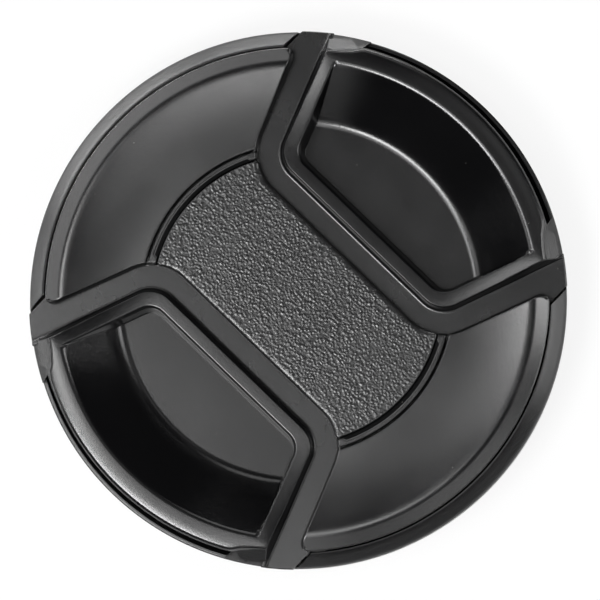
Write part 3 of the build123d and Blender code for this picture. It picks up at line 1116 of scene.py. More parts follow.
@dataclass
class CentrePanel:
    """Panel in the middle with a raised leather grain."""

    cover: FrontCover
    name: str = "grained_panel"
    base_z: float = 7.15
    top_z: float = 7.72
    end_r: float = 16.25
    corner_r: float = 0.35
    edge_r: float = 0.5
    end_edge_r: float = 0.08
    edge_run: float = 1.2
    edge_shares: Levels = (0.08, 0.2, 0.4, 0.7, 1.0)
    box: Box = (-8.6, -16.6, 8.6, 16.6)
    pitch: float = 0.1
    outline_spacing: float = 0.2
    grain_start: float = 0.02
    grain_run: float = 0.2
    grain_size: float = 0.36
    grain_height: float = 0.056
    grain_seed: float = 3.7
    warp_scale: float = 0.9
    warp_detail: float = 2.0
    warp_reach: float = 0.9
    pebble_edge: float = 0.34
    rough_scale: float = 1.7
    rough_detail: float = 3.0
    rough_share: float = 1.5
    grain_middle: float = 1.45

    def outline(self, x: Array, y: Array) -> Array:
        """Distance to the panel's plan."""
        return round_corner(np.hypot(x, y) - self.end_r, self.cover.sides(x, y), self.corner_r)

    def front(self, x: Array, y: Array) -> Array:
        """Height of the panel before its grain.

        Args:
            x: Places along the slide axis.
            y: Places across it.

        Returns:
            Heights.
        """
        by_side = side_share(self.cover.sides(x, y), np.hypot(x, y), self.end_r, self.edge_run)
        edge = self.end_edge_r + (self.edge_r - self.end_edge_r) * by_side
        return self.top_z - edge_drop(-self.outline(x, y), edge)

    def rear(self, x: Array, y: Array) -> Array:
        """Height of the flat back."""
        return np.full_like(x, self.base_z)

    def grain_mark(self, x: Array, y: Array) -> Array:
        """How much of the grain shows: all of it away from the edges."""
        return fade(-self.outline(x, y), self.grain_start, self.grain_run)

    def grain_nodes(self, material: Material) -> PieceNodes:
        """Geometry Nodes tree that raises pebbles and sinks creases into the panel.

        Args:
            material: Material that the tree sets.

        Returns:
            The tree, with inputs for the grain's size, height and seed.
        """
        values = {
            "Grain size": self.grain_size * MM,
            "Grain height": self.grain_height * MM,
            "Seed": self.grain_seed,
        }
        nodes = PieceNodes("leather_grain", values)
        seed = nodes.given["Seed"]
        place = nodes.add("GeometryNodeInputPosition").outputs[0]
        spot = nodes.vector("DIVIDE", place, nodes.given["Grain size"])
        warp = nodes.noise(spot, self.warp_scale, self.warp_detail, seed=seed)
        reach = (self.warp_reach, self.warp_reach, 0.0)
        bent = nodes.vector("MULTIPLY_ADD", warp.outputs["Color"], reach, spot)
        cells = nodes.add(
            "ShaderNodeTexVoronoi",
            {"Vector": bent, "W": seed, "Scale": 1.0},
            voronoi_dimensions="4D",
            feature="DISTANCE_TO_EDGE",
        )
        pebble = nodes.ramp(cells.outputs["Distance"], 0.0, self.pebble_edge)
        rough = nodes.noise(spot, self.rough_scale, self.rough_detail, seed=seed)
        mixed = nodes.math("MULTIPLY_ADD", rough.outputs["Fac"], self.rough_share, pebble)
        centred = nodes.math("SUBTRACT", mixed, self.grain_middle)
        mark = nodes.add("GeometryNodeInputNamedAttribute", {"Name": "grain"}, data_type="FLOAT")
        faded = nodes.math("MULTIPLY", centred, mark.outputs[0])
        lift = nodes.upward(nodes.math("MULTIPLY", faded, nodes.given["Grain height"]))
        move = nodes.add(
            "GeometryNodeSetPosition", {"Geometry": nodes.given["Geometry"], "Offset": lift}
        )
        nodes.close(move.outputs[0], material)
        return nodes

    def build(self, material: Material) -> Object:
        """Makes the panel's mesh with its grain.

        Args:
            material: Material of the panel.

        Returns:
            The new object.
        """
        drops = tuple(-self.edge_r * share for share in self.edge_shares)
        moulding = Moulding(
            name=self.name,
            outline=self.outline,
            front=self.front,
            rear=self.rear,
            box=self.box,
            front_creases=[Crease(self.outline, drops, spacing=0.16)],
            marks={"grain": self.grain_mark},
            pitch=self.pitch,
            outline_spacing=self.outline_spacing,
            true_normals=False,
        )
        piece = moulding.build()
        self.grain_nodes(material).bake(piece)
        return piece


@dataclass
class FingerGrip:
    """Slider: recessed flange, raised bezel, pocket with its sloped outer wall, rim and ears."""

    sizes: CapSizes
    side: Side
    name: str
    flange_in_x: float = 5.65
    flange_half_y: float = 20.75
    flange_edge_r: float = 0.2
    flange_lap: float = 0.3
    wall_slope: float = 3.5
    wall_start: float = 0.1
    foot_r: float = 0.42
    foot_soft: float = 0.12
    crown_soft: float = 0.42
    crown_z: float = 7.42
    crown_x: float = 12.5
    crown_near: float = 0.05
    crown_far: float = 0.0135
    across_r: float = 12.0
    rim_z: float = 8.0
    rim_crest_r: float = 27.3
    rim_round_r: float = 8.0
    rim_edge_r: float = 0.55
    rim_soft: float = 0.2
    pocket_z: float = 3.4
    pocket_inset: float = 2.333
    pocket_corner_r: float = 1.8
    pocket_wall: float = 9.0
    pocket_soft: float = 0.5
    mouth_inset: float = 1.85
    mouth_corner_r: float = 2.25
    mouth_edge_r: float = 0.25
    mouth_start: float = -0.35
    mouth_run: float = 0.2
    mouth_end: float = 0.2
    mouth_end_run: float = 0.4
    opening_corner_r: float = 0.45
    slope_start_r: float = 20.3
    slope_end_r: float = 27.0
    slope_soft: float = 0.32
    lip_soft: float = 0.2
    shell_t: float = 1.35
    grip_back_z: float = 3.95
    grip_lap: float = 0.2
    ear_edge_r: float = 0.15
    ear_end_x: float = 25.5
    ear_end_y: float = 14.45
    ear_end_slope: tuple[float, float] = (0.189, 0.982)
    ear_angles: Levels = (27.0, 28.4, 29.6, 31.4, 34.0, 36.6)
    ear_radii: Levels = (29.4, 29.4, 29.25, 28.85, 28.6, 28.5)
    channel_start: float = -0.05
    channel_run: float = 0.15
    hollow_run: float = 0.3
    hollow_slope_start: float = 0.3
    hollow_slope_run: float = 0.5
    box_x: tuple[float, float] = (5.2, 31.0)
    box_half_y: float = 21.5
    pitch: float = 0.9
    bezel_levels: Levels = (
        1.3, 0.75, 0.5, 0.42, 0.36, 0.3, 0.2, 0.12, 0.05,
        -0.02, -0.1, -0.2, -0.32, -0.42, -0.5, -0.6, -0.75, -1.1,
    )
    pocket_levels: Levels = (-0.35, -0.12, -0.05, 0.0, 0.05, 0.12, 0.3, 0.44)
    mouth_levels: Levels = (0.01, 0.05, 0.1, 0.17, 0.25, 0.4)
    fold_levels: Levels = (-0.5, -0.25, 0.0, 0.25, 0.5)
    slope_levels: Levels = (
        19.6, 19.8, 19.95, 20.1, 20.25, 20.4, 20.6, 20.8, 21.1, 23.0, 25.0,
        26.7, 26.85, 26.95, 27.05, 27.15, 27.3,
    )
    flange_insets: Levels = (0.2, 0.12, 0.06, 0.02)
    rim_levels: Levels = (-0.06, 0.02, 0.06, 0.13, 0.22, 0.35, 0.55, 0.9, 1.3, 1.7)
    rear_bezel_levels: Levels = (0.0, 0.13)
    rear_pocket_levels: Levels = (-0.22, -0.02)
    rear_hollow_r: float = 20.67
    rear_tub_steps: Levels = (0.22, 0.06)
    rear_grip_step: float = 0.08

    def bezel(self, x: Array, y: Array) -> Array:
        """Distance to the bezel's foot, negative inside."""
        return self.sizes.bezel().distance(x, y)

    def pocket(self, x: Array, y: Array) -> Array:
        """Distance to the pocket floor's outline, negative inside."""
        floor = self.sizes.bezel().inset(self.pocket_inset, self.pocket_corner_r)
        return floor.distance(x, y)

    def mouth(self, x: Array, y: Array) -> Array:
        """Distance to the pocket mouth's outline, negative inside."""
        return self.sizes.bezel().inset(self.mouth_inset, self.mouth_corner_r).distance(x, y)

    def opening(self, x: Array, y: Array) -> Array:
        """Distance to the pocket's opening, which the rim closes, negative inside."""
        end = np.hypot(x, y) - self.slope_end_r
        return round_corner(self.mouth(x, y), end, self.opening_corner_r)

    def rim_depth(self, x: Array, y: Array) -> Array:
        """Distance inwards from the rim's outer edge, which draws in towards the ears."""
        angle = np.degrees(np.arctan2(np.abs(y), x))
        return np.interp(angle, self.ear_angles, self.ear_radii) - np.hypot(x, y)

    def outline(self, x: Array, y: Array) -> Array:
        """Distance to the slider's plan.

        Args:
            x: Places along the slide axis.
            y: Places across it.

        Returns:
            Distances, negative inside.
        """
        s = self.sizes
        radius = np.hypot(x, y)
        bezel = self.bezel(x, y)
        along, across = self.ear_end_slope
        ear_end = -((x - self.ear_end_x) * along + (np.abs(y) - self.ear_end_y) * across)
        flange = np.maximum(radius - s.flange_r, -bezel - self.flange_lap)
        ear = np.maximum(np.maximum(radius - s.cap_r, bezel - self.grip_lap), ear_end)
        grip = np.maximum(radius - s.scallop_r, bezel - self.grip_lap)
        plan = np.minimum(np.minimum(flange, ear), grip)
        ends = np.maximum(self.flange_in_x - x, np.abs(y) - self.flange_half_y)
        return np.maximum(ends, plan)

    def top(self, x: Array, y: Array) -> Array:
        """Height of the bezel's crown, the rim and the ears, before the pocket is taken out.

        Args:
            x: Places along the slide axis.
            y: Places across it.

        Returns:
            Heights.
        """
        s = self.sizes
        radius = np.hypot(x, y)
        bend = np.where(x < self.crown_x, self.crown_near, self.crown_far)
        crown = self.crown_z + 0.5 * bend * (x - self.crown_x) ** 2
        beyond = np.maximum(radius - self.rim_crest_r, 0.0)
        rim = self.rim_z - beyond**2 / (2.0 * self.rim_round_r)
        across = np.clip(self.mouth(x, y), 0.0, self.mouth_inset)
        crown = crown - across**2 / (2.0 * self.across_r)
        block = smooth_min(crown, rim, self.rim_soft)
        depth = self.rim_depth(x, y)
        block = block - edge_drop(depth, self.rim_edge_r) - np.maximum(-depth, 0.0) * s.wall_lean
        ear = s.bevel(radius) - edge_drop(s.cap_r - radius, self.ear_edge_r)
        ear = np.minimum(ear, s.bevel_top_z + (radius - s.ring_in_r) * s.wall_lean)
        return np.maximum(block, ear)

    def front(self, x: Array, y: Array) -> Array:
        """Height of the slider's front.

        Args:
            x: Places along the slide axis.
            y: Places across it.

        Returns:
            Heights.
        """
        s = self.sizes
        radius = np.hypot(x, y)
        bezel = self.bezel(x, y)
        flange = s.flange_top_z - edge_drop(s.flange_r - radius, self.flange_edge_r)
        flange = flange + edge_drop(bezel, self.foot_r)
        flange = flange - np.maximum(-bezel - self.flange_lap, 0.0) * s.wall_lean
        wall = s.flange_top_z + (self.wall_start - bezel) * self.wall_slope
        raised = smooth_min(self.top(x, y), wall, self.crown_soft)
        mouth = self.mouth(x, y)
        near_wall = fade(mouth, self.mouth_start, self.mouth_run)
        near_wall *= fade(self.slope_end_r + self.mouth_end - radius, 0.0, self.mouth_end_run)
        raised = raised - edge_drop(mouth, self.mouth_edge_r) * near_wall
        outside = smooth_max(flange, raised, self.foot_soft)
        hollow = smooth_max(self.pocket_bed(x, y), self.pocket_side(x, y), self.pocket_soft)
        return smooth_min(outside, hollow, self.lip_soft)

    def slope_rise(self) -> float:
        """Rise of the pocket's sloped outer wall for each millimetre outwards."""
        return (self.rim_z - self.pocket_z) / (self.slope_end_r - self.slope_start_r)

    def pocket_bed(self, x: Array, y: Array) -> Array:
        """Height of the pocket's floor and of the slope that it runs into."""
        slope = self.pocket_z + (np.hypot(x, y) - self.slope_start_r) * self.slope_rise()
        return smooth_max(np.full_like(slope, self.pocket_z), slope, self.slope_soft)

    def pocket_side(self, x: Array, y: Array) -> Array:
        """Height of the pocket's drafted side wall."""
        return self.pocket_z + self.pocket(x, y) * self.pocket_wall

    def pocket_fold(self, x: Array, y: Array) -> Array:
        """Height of the side wall over the bed, nought along the fold between them."""
        return self.pocket_side(x, y) - self.pocket_bed(x, y)

    def rear(self, x: Array, y: Array) -> Array:
        """Height of the slider's rear: flange, tub and the hollow under the sloped wall.

        Args:
            x: Places along the slide axis.
            y: Places across it.

        Returns:
            Heights.
        """
        s = self.sizes
        lean = s.wall_lean
        radius = np.hypot(x, y)
        tub = s.tub_z + np.maximum(np.maximum(self.bezel(x, y), radius - s.tub_r), 0.0) * lean
        beyond = radius - self.slope_start_r
        under = self.pocket_z - self.shell_t + beyond * self.slope_rise()
        hollow = s.tub_z + np.minimum(-self.pocket(x, y), s.tub_r - radius) * lean
        tub = np.maximum(tub, np.minimum(under, hollow))
        back = arc_band(x, y, s.catch_half_y, s.tub_r, s.scallop_r)
        grip = self.grip_back_z + np.maximum(back, 0.0) * lean
        return np.minimum(np.full_like(radius, s.flange_z), np.minimum(tub, grip))

    def channel_mark(self, x: Array, y: Array) -> Array:
        """Share of the channel's finish: 1 on the flange, 0 on the bezel."""
        return fade(self.bezel(x, y), self.channel_start, self.channel_run)

    def hollow_mark(self, x: Array, y: Array) -> Array:
        """Share of the slope's finish.

        Args:
            x: Places along the slide axis.
            y: Places across it.

        Returns:
            Shares: 1 on the pocket's sloped outer wall.
        """
        beyond = np.hypot(x, y) - self.slope_start_r
        slope = fade(beyond, self.hollow_slope_start, self.hollow_slope_run)
        return fade(-self.opening(x, y), 0.0, self.hollow_run) * slope

    def turned(self, course: Field) -> Field:
        """A field of the slider on the +X side, turned to this slider's side."""
        sign = self.side.sign()
        return lambda x, y: course(sign * x, sign * y)

    def build(self) -> Object:
        """Makes the slider's mesh.

        Returns:
            The new object.
        """
        s = self.sizes
        turned = self.turned
        bezel, pocket, mouth = turned(self.bezel), turned(self.pocket), turned(self.mouth)
        low, high = sorted(self.side.sign() * end for end in self.box_x)
        flange = tuple(s.flange_r - inset for inset in self.flange_insets)
        inner, outer = self.rear_tub_steps
        tub = (self.rear_hollow_r, s.tub_r - inner, s.tub_r, s.tub_r + outer)
        moulding = Moulding(
            name=self.name,
            outline=turned(self.outline),
            front=turned(self.front),
            rear=turned(self.rear),
            box=(low, -self.box_half_y, high, self.box_half_y),
            front_creases=[
                Crease(bezel, self.bezel_levels, spacing=0.5),
                Crease(pocket, self.pocket_levels, spacing=0.5),
                Crease(mouth, self.mouth_levels, spacing=0.5),
                Crease(turned(self.pocket_fold), self.fold_levels, spacing=0.4, within=mouth),
                Crease(np.hypot, self.slope_levels, within=mouth),
                Crease(turned(self.rim_depth), self.rim_levels, within=bezel),
                Crease(np.hypot, flange),
            ],
            rear_creases=[
                Crease(bezel, self.rear_bezel_levels, spacing=1.5),
                Crease(np.hypot, (*tub, s.scallop_r - self.rear_grip_step), spacing=1.2),
                Crease(pocket, self.rear_pocket_levels, spacing=1.5),
            ],
            marks={
                "channel": turned(self.channel_mark),
                "hollow": turned(self.hollow_mark),
            },
            pitch=self.pitch,
        )
        return moulding.build()


@dataclass
class CatchTeeth:
    """Toothed arc on the back of a slider, which grips the filter thread."""

    sizes: CapSizes
    side: Side
    name: str
    wall_r: float = 27.6
    wall_w: float = 1.4
    low_z: float = 0.4
    high_z: float = 4.6
    tooth_count: int = 3
    tooth_h: float = 0.6
    tooth_root: float = 0.62
    tooth_tip: float = 0.15
    tooth_sink: float = 0.02
    pitch: float = 0.75
    first_z: float = 0.875
    segments: int = 72
    sharp_angle: float = 30.0

    def half_angle(self) -> float:
        """Angle from the catch's middle to each end, where its tooth tips reach its half width."""
        return math.asin(self.sizes.catch_half_y / (self.sizes.spigot_r + self.tooth_h))

    def values(self) -> dict[str, float]:
        """Sizes for the tree's inputs.

        Returns:
            Lengths in metres and angles in radians, by name.
        """
        lengths = {
            "Wall radius": self.wall_r,
            "Wall width": self.wall_w,
            "Wall height": self.high_z - self.low_z,
            "Tooth radius": self.sizes.spigot_r + 0.5 * self.tooth_h - self.tooth_sink,
            "Tooth height": self.tooth_h + 2.0 * self.tooth_sink,
            "Tooth root": self.tooth_root,
            "Tooth tip": self.tooth_tip,
            "Pitch": self.pitch,
            "Wall middle": 0.5 * (self.high_z + self.low_z),
            "First tooth": self.first_z,
        }
        return {
            **{label: length * MM for label, length in lengths.items()},
            "Start": math.radians(self.side.value) - self.half_angle(),
            "Sweep": 2.0 * self.half_angle(),
        }

    def sweep(self, nodes: PieceNodes, radius: str, profile: Socket, level: str) -> Socket:
        """Sweeps a profile along the catch's arc.

        Args:
            nodes: Tree to work in.
            radius: Input for the arc's radius.
            profile: Curve to sweep.
            level: Input for the arc's height.

        Returns:
            The swept solid.
        """
        given = nodes.given
        arc = nodes.add(
            "GeometryNodeCurveArc",
            {
                "Resolution": self.segments,
                "Radius": given[radius],
                "Start Angle": given["Start"],
                "Sweep Angle": given["Sweep"],
            },
        )
        solid = nodes.tube(arc.outputs["Curve"], profile)
        lift = nodes.upward(given[level])
        move = nodes.add("GeometryNodeTransform", {"Geometry": solid, "Translation": lift})
        return move.outputs[0]

    def nodes(self, material: Material) -> PieceNodes:
        """Geometry Nodes tree that sweeps the wall and repeats the teeth up it.

        Args:
            material: Material that the tree sets.

        Returns:
            The tree, with inputs for the sizes.
        """
        nodes = PieceNodes(f"{self.name}_sweep", self.values())
        given = nodes.given
        wall = nodes.add(
            "GeometryNodeCurvePrimitiveQuadrilateral",
            {"Width": given["Wall width"], "Height": given["Wall height"]},
            mode="RECTANGLE",
        )
        tooth = nodes.add(
            "GeometryNodeCurvePrimitiveQuadrilateral",
            {
                "Bottom Width": given["Tooth root"],
                "Top Width": given["Tooth tip"],
                "Height": given["Tooth height"],
                "Offset": 0.0,
            },
            mode="TRAPEZOID",
        )
        outwards = (0.0, 0.0, math.radians(90.0))
        turn = nodes.add(
            "GeometryNodeTransform", {"Geometry": tooth.outputs[0], "Rotation": outwards}
        )
        wall_solid = self.sweep(nodes, "Wall radius", wall.outputs[0], "Wall middle")
        tooth_solid = self.sweep(nodes, "Tooth radius", turn.outputs[0], "First tooth")
        ladder = nodes.add(
            "GeometryNodeMeshLine",
            {"Count": self.tooth_count, "Offset": nodes.upward(given["Pitch"])},
        )
        repeat = nodes.add(
            "GeometryNodeInstanceOnPoints", {"Points": ladder.outputs[0], "Instance": tooth_solid}
        )
        join = nodes.add("GeometryNodeJoinGeometry")
        for solid in (repeat.outputs[0], wall_solid):
            nodes.put(solid, join.inputs[0])
        nodes.close(join.outputs[0], material)
        return nodes

    def build(self, material: Material) -> Object:
        """Makes the catch's mesh.

        Args:
            material: Material of the catch.

        Returns:
            The new object.
        """
        piece = put_in_scene(self.name, bpy.data.meshes.new(self.name))
        self.nodes(material).bake(piece, self.sharp_angle)
        return piece


@dataclass
class ReturnSpring:
    """Coil spring behind a finger grip, which shortens as the grip is pinched."""

    sizes: CapSizes
    side: Side
    name: str
    start_x: float = 0.8
    end_x: float = 9.7
    coil_r: float = 1.02
    wire_r: float = 0.18
    turns: int = 7
    end_turns: int = 1
    end_lead: float = 1.1
    steps: int = 24
    facets: int = 12
    sharp_angle: float = 60.0

    def height(self) -> float:
        """Height of the spring's axis, halfway between the floor and the flange."""
        return 0.5 * (self.sizes.floor_top_z + self.sizes.flange_z)

    def path(self) -> Array:
        """Centre line of the wire: closed end coils and open coils between them.

        Returns:
            Points in millimetres.
        """
        turn = np.arange(self.turns * self.steps + 1) / self.steps
        first = self.start_x + self.wire_r
        last = self.end_x - self.wire_r
        end_pitch = self.end_lead * 2.0 * self.wire_r
        open_turns = self.turns - 2 * self.end_turns
        open_pitch = (last - first - 2 * self.end_turns * end_pitch) / open_turns
        closed = np.minimum(turn, self.end_turns)
        closed = closed + np.maximum(turn - self.turns + self.end_turns, 0.0)
        opened = np.clip(turn - self.end_turns, 0.0, open_turns)
        along = first + end_pitch * closed + open_pitch * opened
        angle = 2.0 * math.pi * turn
        sign = self.side.sign()
        across = self.coil_r * np.cos(angle)
        height = self.height() + self.coil_r * np.sin(angle)
        return np.stack((sign * along, sign * across, height), axis=1)

    def nodes(self, material: Material) -> PieceNodes:
        """Geometry Nodes tree that draws the wire along its centre line.

        Args:
            material: Material that the tree sets.

        Returns:
            The tree, with an input for the wire's radius.
        """
        nodes = PieceNodes(f"{self.name}_wire", {"Wire radius": self.wire_r * MM})
        curve = nodes.add("GeometryNodeMeshToCurve", {"Mesh": nodes.given["Geometry"]})
        section = nodes.add(
            "GeometryNodeCurvePrimitiveCircle",
            {"Resolution": self.facets, "Radius": nodes.given["Wire radius"]},
        )
        nodes.close(nodes.tube(curve.outputs[0], section.outputs[0]), material)
        return nodes

    def build(self, material: Material) -> Object:
        """Makes the spring's mesh.

        Args:
            material: Material of the wire.

        Returns:
            The new object.
        """
        points = self.path() * MM
        mesh = bpy.data.meshes.new(self.name)
        mesh.from_pydata(points.tolist(), [(at, at + 1) for at in range(len(points) - 1)], [])
        piece = put_in_scene(self.name, mesh)
        self.nodes(material).bake(piece, self.sharp_angle)
        return piece

    def shorten(self, piece: Object) -> None:
        """Gives the spring's object its own copy of its mesh.

        Args:
            piece: The spring's object.
        """
        self.side.sign() * self.start_x * MM
        self.height() * MM
        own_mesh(piece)


def clear_nodes(owner: Material | bpy.types.World) -> NodeKit:
    """Gives a material or a world an empty tree.

    Args:
        owner: The material or world.

    Returns:
        Calls for its tree.
    """
    owner.use_nodes = True
    owner.node_tree.nodes.clear()
    return NodeKit(owner.node_tree)


@dataclass(frozen=True)
class MouldedGrain:
    """Shared surface of moulded plastic: fine grain, broad sheen changes and settled dust."""

    grain_detail: float = 3.0
    grain_rough: float = 0.6
    sheen_detail: float = 4.0
    sheen_rough: float = 0.55
    speck_scale: float = 700.0
    speck_edge: float = 0.05
    speck_core: float = 0.02
    speck_least: float = 0.9

    def build(self) -> bpy.types.NodeTree:
        """Makes the shader group.

        Returns:
            Group with inputs Place, Grain scale, Sheen scale and Dust, and outputs Grain, Sheen
            and Specks.
        """
        numbers = dict.fromkeys(("Grain scale", "Sheen scale", "Dust"), "Float")
        inputs = {"Place": "Vector", **numbers}
        outputs = dict.fromkeys(("Grain", "Sheen", "Specks"), "Float")
        kit = GroupKit("moulded_grain", "Shader", inputs, outputs)
        given = kit.given
        place = given["Place"]
        grain = kit.noise(place, given["Grain scale"], self.grain_detail, self.grain_rough)
        sheen = kit.noise(place, given["Sheen scale"], self.sheen_detail, self.sheen_rough)
        cells = kit.add("ShaderNodeTexVoronoi", {"Vector": place, "Scale": self.speck_scale})
        dot = kit.ramp(cells.outputs["Distance"], self.speck_edge, self.speck_core)
        pick = kit.add("ShaderNodeSeparateColor", {0: cells.outputs["Color"]})
        chosen = kit.math("GREATER_THAN", pick.outputs[0], self.speck_least)
        specks = kit.math("MULTIPLY", kit.math("MULTIPLY", dot, chosen), given["Dust"])
        kit.put(grain.outputs["Fac"], kit.result["Grain"])
        kit.put(sheen.outputs["Fac"], kit.result["Sheen"])
        kit.put(specks, kit.result["Specks"])
        return kit.tree


@dataclass(frozen=True)
class PlasticFinish:
    """Black moulded plastic, with its sheen, its grain and what has settled on it."""

    name: str
    colour: Colour = (0.0024, 0.0024, 0.0026)
    roughness: float = 0.4
    gloss: float = 0.5
    sheen_change: float = 0.025
    grain_scale: float = 5200.0
    grain_depth: float = 0.010
    sheen_scale: float = 160.0
    dust: float = 0.25
    dust_colour: Colour = (0.32, 0.31, 0.29)
    dust_roughness: float = 0.5
    matte_mark: str = ""
    matte_roughness: float = 0.26
    matte_depth: float = 0.015
    gloss_mark: str = ""
    gloss_roughness: float = 0.10

    def shift(self, kit: NodeKit, rough: Socket, mark: Socket, goal: float) -> Socket:
        """Moves the roughness towards a goal where the mesh carries a mark."""
        return kit.math("ADD", rough, kit.math("MULTIPLY", mark, goal - self.roughness))

    def build(self, grain: bpy.types.NodeTree) -> Material:
        """Makes the material.

        Args:
            grain: Shared grain group.

        Returns:
            The material.
        """
        material = bpy.data.materials.new(self.name)
        kit = clear_nodes(material)
        inputs = {
            "Place": kit.add("ShaderNodeTexCoord").outputs["Object"],
            "Grain scale": self.grain_scale,
            "Sheen scale": self.sheen_scale,
            "Dust": self.dust,
        }
        surface = kit.add("ShaderNodeGroup", inputs, node_tree=grain).outputs
        low, high = self.roughness - self.sheen_change, self.roughness + self.sheen_change
        rough = kit.ramp(surface["Sheen"], *NOISE_SPREAD, low, high)
        depth: object = self.grain_depth
        if self.matte_mark:
            matte = kit.add("ShaderNodeAttribute", attribute_name=self.matte_mark).outputs["Fac"]
            rough = self.shift(kit, rough, matte, self.matte_roughness)
            depth = kit.ramp(matte, 0.0, 1.0, self.grain_depth, self.matte_depth)
        if self.gloss_mark:
            gloss = kit.add("ShaderNodeAttribute", attribute_name=self.gloss_mark).outputs["Fac"]
            rough = self.shift(kit, rough, gloss, self.gloss_roughness)
        dusty = kit.math("MULTIPLY", surface["Specks"], self.dust_roughness)
        height = kit.math("MULTIPLY", surface["Grain"], depth)
        bump = kit.add("ShaderNodeBump", {"Strength": 1.0, "Distance": MM, "Height": height})
        inputs = {
            "Specular IOR Level": self.gloss,
            "Roughness": kit.math("ADD", rough, dusty, clamp=True),
            "Base Color": kit.tint(surface["Specks"], self.colour, self.dust_colour),
            "Normal": bump.outputs[0],
        }
        shader = kit.add("ShaderNodeBsdfPrincipled", inputs)
        kit.add("ShaderNodeOutputMaterial", {"Surface": shader.outputs[0]})
        return material


@dataclass(frozen=True)
class SteelFinish:
    """Drawn spring wire: bright steel with faint draw marks."""

    name: str = "spring_wire"
    colour: Colour = (0.56, 0.55, 0.53)
    dark: Colour = (0.38, 0.37, 0.36)
    mark_scale: float = 2400.0
    mark_detail: float = 3.0
    smoothest: float = 0.24
    roughest: float = 0.4

    def build(self) -> Material:
        """Makes the material.

        Returns:
            The material.
        """
        material = bpy.data.materials.new(self.name)
        kit = clear_nodes(material)
        place = kit.add("ShaderNodeTexCoord").outputs["Object"]
        marks = kit.noise(place, self.mark_scale, self.mark_detail).outputs["Fac"]
        inputs = {
            "Metallic": 1.0,
            "Base Color": kit.tint(marks, self.dark, self.colour),
            "Roughness": kit.ramp(marks, *NOISE_SPREAD, self.smoothest, self.roughest),
        }
        shader = kit.add("ShaderNodeBsdfPrincipled", inputs)
        kit.add("ShaderNodeOutputMaterial", {"Surface": shader.outputs[0]})
        return material


def direction(azimuth: float, off_zenith: float) -> Vector:
    """Direction from the cap's middle.

    Args:
        azimuth: Turn about the cap's axis, in degrees.
        off_zenith: Angle from straight up, in degrees.

    Returns:
        The unit vector.
    """
    turn, lean = math.radians(azimuth), math.radians(off_zenith)
    level = math.sin(lean)
    return Vector((level * math.cos(turn), level * math.sin(turn), math.cos(lean)))


@dataclass(frozen=True)
class Softbox:
    """Flat lamp that faces the cap."""

    name: str
    azimuth: float
    off_zenith: float
    distance: float
    width: float
    height: float
    radiance: float
    aim_z: float = 0.006
    watts_per_radiance: float = 4.0

    def build(self) -> Object:
        """Places the lamp.

        Returns:
            The lamp's object.
        """
        lamp = bpy.data.lights.new(self.name, "AREA")
        lamp.shape = "RECTANGLE"
        lamp.size = self.width
        lamp.size_y = self.height
        lamp.energy = self.watts_per_radiance * self.width * self.height * self.radiance
        away = direction(self.azimuth, self.off_zenith)
        turn = math.radians(self.azimuth)
        across = Vector((-math.sin(turn), math.cos(turn), 0.0))
        axes = Matrix((across, away.cross(across), away)).transposed().to_4x4()
        middle = away * self.distance + Vector((0.0, 0.0, self.aim_z))
        piece = put_in_scene(self.name, lamp)
        piece.matrix_world = Matrix.Translation(middle) @ axes
        return piece


